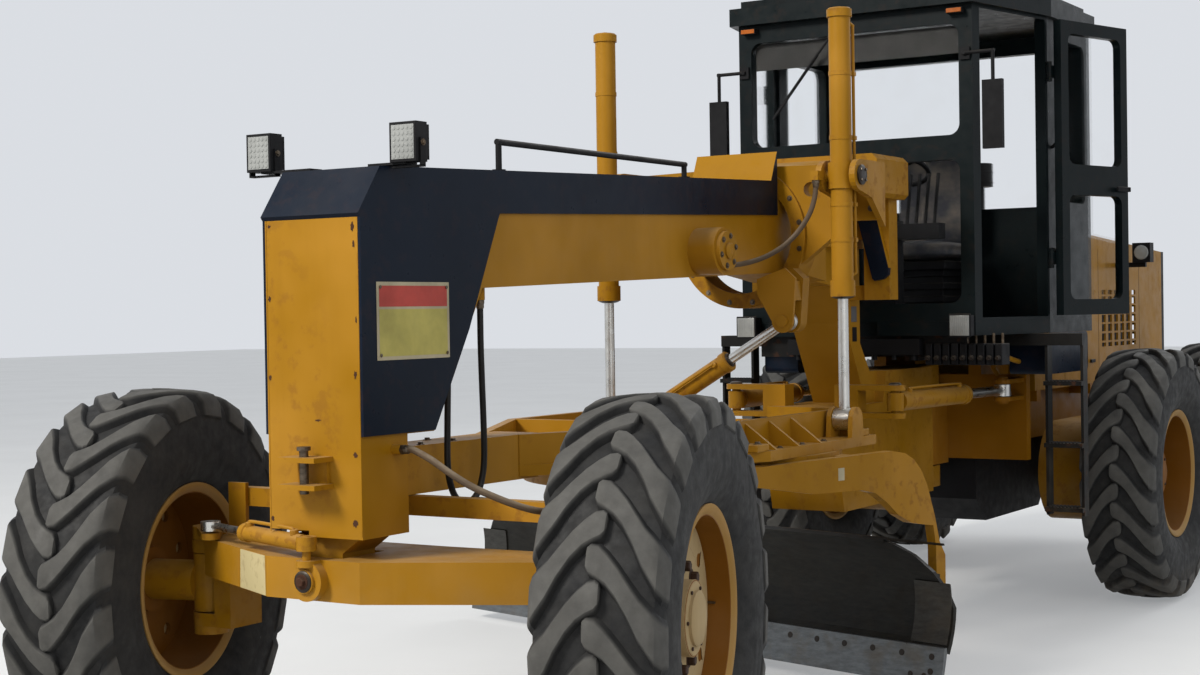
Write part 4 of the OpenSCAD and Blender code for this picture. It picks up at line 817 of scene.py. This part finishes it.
# Wheels: rim's lip, a lighter ring that paints light on the sunlit flange, as (radius, height out from the rim's
# edge), and the valve as (radius, height over the disc)
LIP = ((0.3462, 0), (0.3466, 0.0062), (0.342, 0.0085), (0.334, 0.0085), (0.322, 0.003), (0.312, -0.006))
VALVE = ((0.306, 0), (0.302, 0.02), (0.3, 0.028))
RIM_HALF = 0.15
DISC_FRONT, DISC_REAR = 0.068, -0.024


def wheel_frame(side, place):
    """A frame in the wheel's middle whose Z looks outwards along its axle."""
    low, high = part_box(f"tyre_{side}_{place}")
    s = 1 if side == "left" else -1
    a = radians(STEER if place == "front" else 0)
    return facing((low + high) / 2, (s * cos(a), s * sin(a), 0))


def pale_sector(g, m, start, h):
    """Painted stretch of a front disc from one of its round holes to the next, out to the rim."""
    holes_at, hole_r, half, steps = 0.25, 0.0235, radians(18), 8
    rows = []
    for r in (0.226, 0.24, 0.25, 0.26, 0.272, 0.29, 0.304):
        off = abs(r - holes_at)
        cut = asin(sqrt(hole_r ** 2 - off ** 2) / r) if off < hole_r else 0.0
        angles = [start + cut + 2 * (half - cut) * i / steps for i in range(steps + 1)]
        rows.append([g.verts.new(m @ Vector((r * cos(a), r * sin(a), h))) for a in angles])
    for r0, r1 in zip(rows, rows[1:]):
        for i in range(steps):
            g.faces.new((r0[i], r0[i + 1], r1[i + 1], r1[i]))


def dress_front_disc(m, body):
    pale, nut, face = group("hub", body, True), group("nut", body), 0.0705
    lathe(pale, m, [(0.227, DISC_FRONT), (0.2255, face), (0.1155, face)], 64, closed=False)
    lathe(pale, m, [(0.1155, 0.07), (0.1165, 0.11), (0.11, 0.1128)], 64, closed=False)
    for k in range(10):
        pale_sector(pale, m, radians(36 * k), face)
    lathe(pale, m, [(0.11, 0.112), (0.11, 0.1135), (0.084, 0.1145), (0.084, 0.124), (0.078, 0.129), (0.04, 0.1325),
                    (0.012, 0.1335)], 48)
    bolt_circle(nut, m, 10, 0.156, 0.07, 0.0165, 0.024, 8)
    bolt_circle(nut, m, 6, 0.097, 0.113, 0.006, 0.007, washer=False)


def dress_rear_disc(m, body):
    nut = group("nut", body)
    bolt_circle(nut, m, 12, 0.168, DISC_REAR, 0.0165, 0.032, 8)
    # Rear hub cap in the darker rim paint, which carries painted shade
    lathe(group("rim", body, True), m,
          [(0.116, 0.06), (0.116, 0.0625), (0.07, 0.066), (0.07, 0.074), (0.062, 0.08), (0.01, 0.083)], 48)
    bolt_circle(nut, m, 8, 0.094, 0.063, 0.008, 0.008, washer=False)


def dress_wheels():
    for side in ("left", "right"):
        for place in ("front", "mid", "back"):
            m, body = wheel_frame(side, place), f"wheel_{side}_{place}"
            # Lighter ring on each flange of the rim: painted light
            for way in (1, -1):
                lathe(group("lip", body, True), m, [(r, way * (RIM_HALF + out)) for r, out in LIP], 96, closed=False)
            if place == "front":
                dress_front_disc(m, body)
            else:
                dress_rear_disc(m, body)
            disc = DISC_FRONT if place == "front" else DISC_REAR
            tube(group("bolt", body, True), [m @ Vector((r, 0, disc + out)) for r, out in VALVE], 0.004, 8)


# Blade, circle and drawbar
CIRCLE = at(0, 1.98, 0)
CIRCLE_TURN = 15
# Cutting edge in the circle's frame: its front at the top, and how far it slopes back per metre down
EDGE_Y, EDGE_TOP, EDGE_SLOPE = 0.6228, 0.21, 0.1875


def circle_frame():
    return Matrix.Translation(CIRCLE) @ Matrix.Rotation(-radians(CIRCLE_TURN), 4, "Z")


def face_line(z0, z1, out, n=12):
    """Points (y, z) on the blade's hollow face between two heights, moved out from it."""
    low, high, sag = Vector((0.64, 0.19)), Vector((0.612, 0.63)), 0.062
    chord = (high - low).length
    r = (chord * chord / 4 + sag * sag) / (2 * sag)
    along = (high - low) / chord
    back = Vector((along.y, -along.x))
    centre = (low + high) / 2 - back * (r - sag)
    half, steps = asin(chord / 2 / r), 96
    line = []
    for i in range(steps + 1):
        a = -half + 2 * half * i / steps
        v = centre + (r - out) * (back * cos(a) + along * sin(a))
        if z0 <= v.y <= z1:
            line.append(v)
    step = max(1, len(line) // n)
    return line[::step] + ([line[-1]] if (len(line) - 1) % step else [])


def end_plate(g, m, x0, x1, z0, z1):
    """Wear plate on the blade's hollow face."""
    line, back = face_line(z0, z1, 0.007), face_line(z0, z1, 0.0002)
    skin(g, [[g.verts.new(m @ Vector((x, v.x, v.y))) for v, x in ((b, x0), (f, x0), (f, x1), (b, x1))]
             for f, b in zip(line, back)])


def edge_bolt(g, m, x, z, r, inner):
    """Low round head in the cutting edge's front."""
    normal = Vector((0, -1, EDGE_SLOPE)).normalized()
    place = Vector((x, EDGE_Y - (EDGE_TOP - z) * EDGE_SLOPE, z)) - normal * 0.001
    lathe(g, facing(m @ place, m.to_3x3() @ normal), [(r, 0), (r, 0.0022), (inner, 0.0024)], 18)


def facing_edge(m, x):
    """Frame on the cutting edge's front: X along the blade, Z up the edge."""
    return m @ Matrix.Translation((x, EDGE_Y, EDGE_TOP)) @ Matrix.Rotation(atan(EDGE_SLOPE), 4, "X")


def dress_blade():
    m = circle_frame()
    for x0, x1 in ((0.688, 0.872), (-2.162, -1.98)):
        end_plate(group("plate", "moldboard", True), m, x0, x1, 0.215, 0.47)
    hole = group("grease", "moldboard")
    first, last, steps = -2.11, 0.82, 19
    for i in range(steps + 1):
        for z in (0.17,) if 0 < i < steps else (0.17, 0.11):
            edge_bolt(hole, m, first + (last - first) * i / steps, z, 0.0135, 0.011)
    for x in (0.86, 0.79, 0.72):
        edge_bolt(hole, m, x, 0.09, 0.012, 0.009)
    # Joints between the edge's pieces
    for x in (0.686, -0.79, -1.96):
        block(hole, about(0, 0.0015), (-0.0012, 0.0004), (-0.155, 0.0), m=facing_edge(m, x))
    # Bolt heads of the rails' clamps
    for x in (-0.56, -0.46, 0.46, 0.56):
        for z in (0.36, 0.44):
            bolt(group("bolt", "tilting_carrier"), m @ Vector((x, 0.7125, z)), m.to_3x3() @ Vector(AHEAD), 0.009,
                 0.008)


def dress_circle():
    block(group("white", "circle_turntable"), (0.7222, 0.7228), (0.152, 0.19), (0.925, 0.975), m=circle_frame())
    nut = group("bolt", "drawbar_frame")
    for side in BOTH:
        for s in (1.5, 2.44):
            block(group("yellow", "drawbar_frame"), span(side, 0.53, 0.63), about(s, 0.05), (1.0695, 1.098), 0.004)
            for x in (0.555, 0.605):
                bolt(nut, at(side * x, s, 1.098), UP, 0.011, 0.01)
        for s in (1.7, 1.9, 2.1):
            bolt(nut, at(side * 0.6, s, 1.0698), UP, 0.009, 0.008)
        for s in (0.12, 0.3):
            bolt(nut, at(side * 0.055, s, 1.1798), UP, 0.01, 0.009)


# Cab: the door's hinge and the front corner in plan, and the head lamps' place
HINGE_X, HINGE_S = 0.79, 4.41
CORNER_X, CORNER_S = 0.635, 3.76
HEAD_LAMP_X, HEAD_LAMP_Z = 0.58, 1.52
LEFT_DOOR_OPEN = 176


def door_frame(side, turn):
    """Frame of a door at its hinge, opened by turn degrees: X along the leaf, Y out of the cab."""
    slant = atan2(HINGE_X - CORNER_X, HINGE_S - CORNER_S)
    pin = Matrix.Translation((0.006, 0.016, 0))
    leaf = (Matrix.Translation((HINGE_X, HINGE_S, 0)) @ Matrix.Rotation(radians(-90) - slant, 4, "Z")
            @ pin @ Matrix.Rotation(radians(turn), 4, "Z") @ pin.inverted())
    return Matrix.Translation(at(0, 0, 0)) @ Matrix.Diagonal((side, 1, 1, 1)) @ leaf


def dress_windscreen():
    """Dark band behind the glass's top, and the wiper's motor, arm and blade."""
    block(group("band", REAR), about(0, 0.555), (3.7965, 3.7985), (2.85, 2.985))
    dark = group("plastic", REAR, True)
    knob(dark, (-0.07, 3.76, 3.025), AHEAD, [(0.02, 0), (0.02, 0.02), (0.012, 0.026)], 20)
    tube(dark, [at(-0.07, 3.744, 3.025), at(-0.2, 3.746, 2.88), at(-0.325, 3.75, 2.73)], 0.006, 8)
    block(group("plastic", REAR), about(0, 0.006), about(0, 0.006), about(0, 0.2),
          m=Matrix.Translation(at(-0.315, 3.757, 2.745)) @ Matrix.Rotation(radians(39.5), 4, "Y"))


def dress_lamps():
    lens = group("lens", REAR, True)
    for side in BOTH:
        x, z = side * HEAD_LAMP_X, HEAD_LAMP_Z
        block(group("plastic", REAR), about(x, 0.057), (3.689, 3.7), about(z, 0.057), 0.004)
        block(lens, about(x, 0.049), (3.6845, 3.6895), about(z, 0.049), 0.002)
        for k in range(9):
            block(lens, about(x - 0.04 + k * 0.01, 0.003), (3.683, 3.6848), about(z, 0.044), 0.0008)
        block(group("orange", REAR), span(side, 0.522, 0.598), (3.711, 3.7155), (3.037, 3.058), 0.002)
        block(group("red", REAR), span(side, 0.275, 0.385), (7.9795, 7.983), (0.965, 1.055), 0.002)
    knob(lens, (0.615, 6.7, 1.93), AHEAD, [(0.045, 0), (0.04, 0.006), (0.01, 0.01)], 32)


def dress_doors():
    """Grab handles behind the doors, treads on the ladders' steps, and a handle on each face of a door."""
    for side in BOTH:
        grip = [at(side * x, 4.46, z) for x, z in ((0.79, 1.9), (0.835, 1.92), (0.835, 2.4), (0.79, 2.42))]
        tube(group("plastic", REAR, True), smooth_line(grip, 5), 0.009, 10)
        for z in (0.602, 0.922, 1.232):
            for k in range(9):
                block(group("plastic", REAR), about(side * (0.84 + k * 0.018), 0.004), (4.205, 4.295), (z, z + 0.004))
    for side, turn, body in ((1, LEFT_DOOR_OPEN, "door_leaf_left"), (-1, 0, "door_leaf_right")):
        m, g, z = door_frame(side, turn), group("plastic", body), (2.2, 2.225)
        for post, grip in (((0.0, 0.03), (0.02, 0.03)), ((-0.074, -0.044), (-0.074, -0.064))):
            block(g, (0.56, 0.585), post, z, 0.003, m=m)
            block(g, (0.47, 0.585), sorted(grip), z, 0.003, m=m)


def dress_valve_bank():
    """Row of valves under the cab's front, and two pipes to the rear."""
    for k in range(9):
        x = 0.378 + k * 0.045
        block(group("black", REAR), about(x, 0.018), (3.79, 3.9), (1.325, 1.43), 0.004)
        knob(group("grease", REAR, True), (x, 3.79, 1.36), AHEAD,
              [(0.013, 0), (0.013, 0.014), (0.009, 0.016), (0.009, 0.03)], 12)
        knob(group("bolt", REAR, True), (x, 3.85, 1.43), UP, [(0.007, 0), (0.007, 0.05)], 10)
    for x0, x1, s1 in ((0.45, 0.4, 4.64), (0.6, 0.5, 4.71)):
        line = [at(x0, 4.0, 1.40), at(x0 + 0.02, 4.08, 1.375), at(x0 + 0.05, 4.3, 1.33), at(x0 + 0.02, 4.5, 1.315),
                at(x1, s1, 1.29), at(x1, s1 + 0.07, 1.243)]
        tube(group("yellow", REAR, True), smooth_line(line, 6), 0.013, 12)


def dress_hood():
    """Baffles and slats in the slots, seams, handles, the exhaust's cap and the intake's bands."""
    dark, black = group("plastic", REAR), group("black", REAR)
    for side in BOTH:
        block(black, span(side, 0.405, 0.41), (6.4, 7.2), (1.33, 1.72))
        for s in (5.72, 6.38, 7.26):
            block(dark, span(side, 0.4398, 0.4406), (s, s + 0.004), (1.15, 1.95))
        for s in (5.6, 6.2, 7.12):
            block(black, span(side, 0.44, 0.452), (s, s + 0.08), (1.26, 1.28), 0.003)
        for i in range(6):
            for k in range(6):
                s, z = 6.452 + i * 0.13, 1.375 + k * 0.057
                block(group("yellow", REAR), span(side, 0.43, 0.44), (s, s + 0.076), (z, z + 0.012))
    knob(black, (0.18, 6.35, 2.9), UP, [(0.052, 0), (0.052, 0.01), (0.04, 0.012)], 24)
    for z in (2.36, 2.42):
        knob(group("black", REAR, True), (-0.2, 6.0, z), UP, [(0.111, 0), (0.113, 0.006), (0.111, 0.012)],
              48)


def dress_tandems():
    """Bolts round the wheel covers and along the cases' edges."""
    metal = group("bolt", REAR)
    for side in BOTH:
        for s in (5.385, 6.91):
            for u, w in ring(10, 0.094):
                bolt(metal, at(side * 0.7845, s + u, TYRE_R + w), (side, 0, 0), 0.008, 0.008, washer=False)
        for k in range(5):
            for z in (0.5, 0.87):
                bolt(metal, at(side * 0.77, 5.75 + k * 0.2, z), (side, 0, 0), 0.009, 0.008)


# Seat: two crowned cushions with sewn grooves, on a plain box with bellows
FLOOR_TOP = 1.54


def cushion(name, low, high, crown, axis):
    """Soft block between two corners; its faces across axis are crowned, and its corners are round."""
    bm = bmesh.new()
    bmesh.ops.create_cube(bm, size=2)
    bmesh.ops.subdivide_edges(bm, edges=bm.edges, cuts=15, use_grid_fill=True)
    half = [(b - a) / 2 for a, b in zip(low, high)]
    mid = [(b + a) / 2 for a, b in zip(low, high)]
    others = [i for i in range(3) if i != axis]
    for v in bm.verts:
        c = list(v.co)
        size = sum(abs(k) ** 7 for k in c) ** (1 / 7)
        c = [k / size for k in c]
        u, w = c[others[0]], c[others[1]]
        swell = 1 - crown * (1 - (1 - u * u) * (1 - w * w))
        groove = 0.05 * exp(-((abs(u) - 0.55) / 0.035) ** 2)
        c[axis] *= swell - groove * (abs(c[axis]) > 0.5)
        c[others[0]] *= 1 - 0.05 * (1 - abs(c[axis]))
        v.co = at(*[m + k * h for m, k, h in zip(mid, c, half)])
    o = new_object(name, bm, "cloth", REAR, smooth=True)
    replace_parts(o, "seat")
    return o


def make_seat():
    cushion("seat_cushion", (-0.24, 4.43, FLOOR_TOP + 0.321), (0.24, 4.88, FLOOR_TOP + 0.43), 0.35, 2)
    cushion("seat_back", (-0.23, 4.842, FLOOR_TOP + 0.42), (0.23, 4.94, FLOOR_TOP + 1.0), 0.4, 1)
    bm = bmesh.new()
    block(bm, (-0.2, 0.2), (4.48, 4.86), (FLOOR_TOP + 0.001, FLOOR_TOP + 0.06), 0.006)
    for k in range(6):
        wide, low = 0.012 * (k % 2), FLOOR_TOP + 0.06 + k * 0.035
        block(bm, about(0, 0.17 + wide), (4.52 - wide, 4.83 + wide), (low, low + 0.0355), 0.004)
    block(bm, (-0.2, 0.2), (4.48, 4.86), (FLOOR_TOP + 0.27, FLOOR_TOP + 0.318), 0.006)
    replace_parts(new_object("seat_base", bm, "plastic", REAR), "seat")


# Hoses: the points of each one's course in part.scad, in machine millimetres
HOSES = {
    "hose_beam": [(212, 1930, 1800), (212, 1955, 1800), (212, 1980, 1800), (217, 2030, 1800), (236, 2084, 1804),
                  (270, 2134, 1816), (316, 2176, 1838), (366, 2208, 1872), (412, 2232, 1916), (450, 2247, 1966),
                  (480, 2256, 2020), (497, 2261, 2076), (503, 2262, 2123), (503, 2262, 2150)],
    "hose_loop": [(150, 150, 1420), (150, 150, 1395), (150, 150, 1370), (150, 145, 1250), (150, 142, 1130),
                  (150, 152, 1060), (150, 184, 1002), (150, 245, 975), (150, 306, 1002), (150, 338, 1060),
                  (150, 350, 1130), (150, 349, 1250), (150, 344, 1380), (150, 340, 1510),
                  (150, 340, 1610), (150, 340, 1635), (150, 340, 1660)],
    "hose_axle": [(222, -190, 1190), (244, -190, 1190), (266, -190, 1190), (335, -187, 1160), (400, -178, 1120),
                  (470, -162, 1080), (540, -138, 1048), (600, -110, 1023), (645, -78, 1006),
                  (665, -44, 1000), (665, -28, 1000), (665, -12, 1000)],
}


def make_hoses():
    for node, points in HOSES.items():
        course = [at(*(v / 1000 for v in p)) for p in points]
        line = smooth_line(course, 2)
        bm = bmesh.new()
        tube(bm, smooth_line(course, 6), 0.011, 16)
        o = new_object(f"{node}_rubber", bm, "hose" if node == "hose_loop" else "brown", FRONT, smooth=True)
        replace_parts(o, node)
        for p, q in ((line[0], line[1]), (line[-1], line[-2])):
            way = (q - p).normalized()
            lathe(group("bolt", FRONT, True), facing(p, way), [(0.0135, 0), (0.0135, 0.026), (0.0115, 0.03)], 20)
            lathe(group("bolt", FRONT), facing(p, way), [(0.0165, 0), (0.0165, 0.012)], 6)


def make_floor():
    bm = bmesh.new()
    bmesh.ops.create_grid(bm, x_segments=1, y_segments=1, size=60)
    mesh = bpy.data.meshes.new("floor")
    bm.to_mesh(mesh)
    bm.free()
    s = Shader("floor")
    s.bump(s.noise(30, 3), 0.05)
    colour = s.mix(s.cloud(0.3, 0.7, 0.6, 3), (0.5, 0.5, 0.49), (0.55, 0.55, 0.54))
    s.put(s.surface.inputs["Emission Color"], (0.86, 0.89, 0.92))
    s.put(s.surface.inputs["Emission Strength"], s.ramp(straight_rays(s.tree), 0, 1, 0, 0.3))
    mesh.materials.append(s.finish(colour, 0.85))
    o = bpy.data.objects.new("floor", mesh)
    link(o)


make_camera()
make_light()
make_floor()
dress_nodes()
make_tyres()
dress_nose()
dress_beam()
dress_axle()
dress_yoke()
dress_cylinders()
dress_wheels()
dress_blade()
dress_circle()
dress_windscreen()
dress_lamps()
dress_doors()
dress_valve_bank()
dress_hood()
dress_tandems()
make_seat()
make_hoses()
finish_groups()

bpy.context.scene.view_settings.view_transform = "Standard"
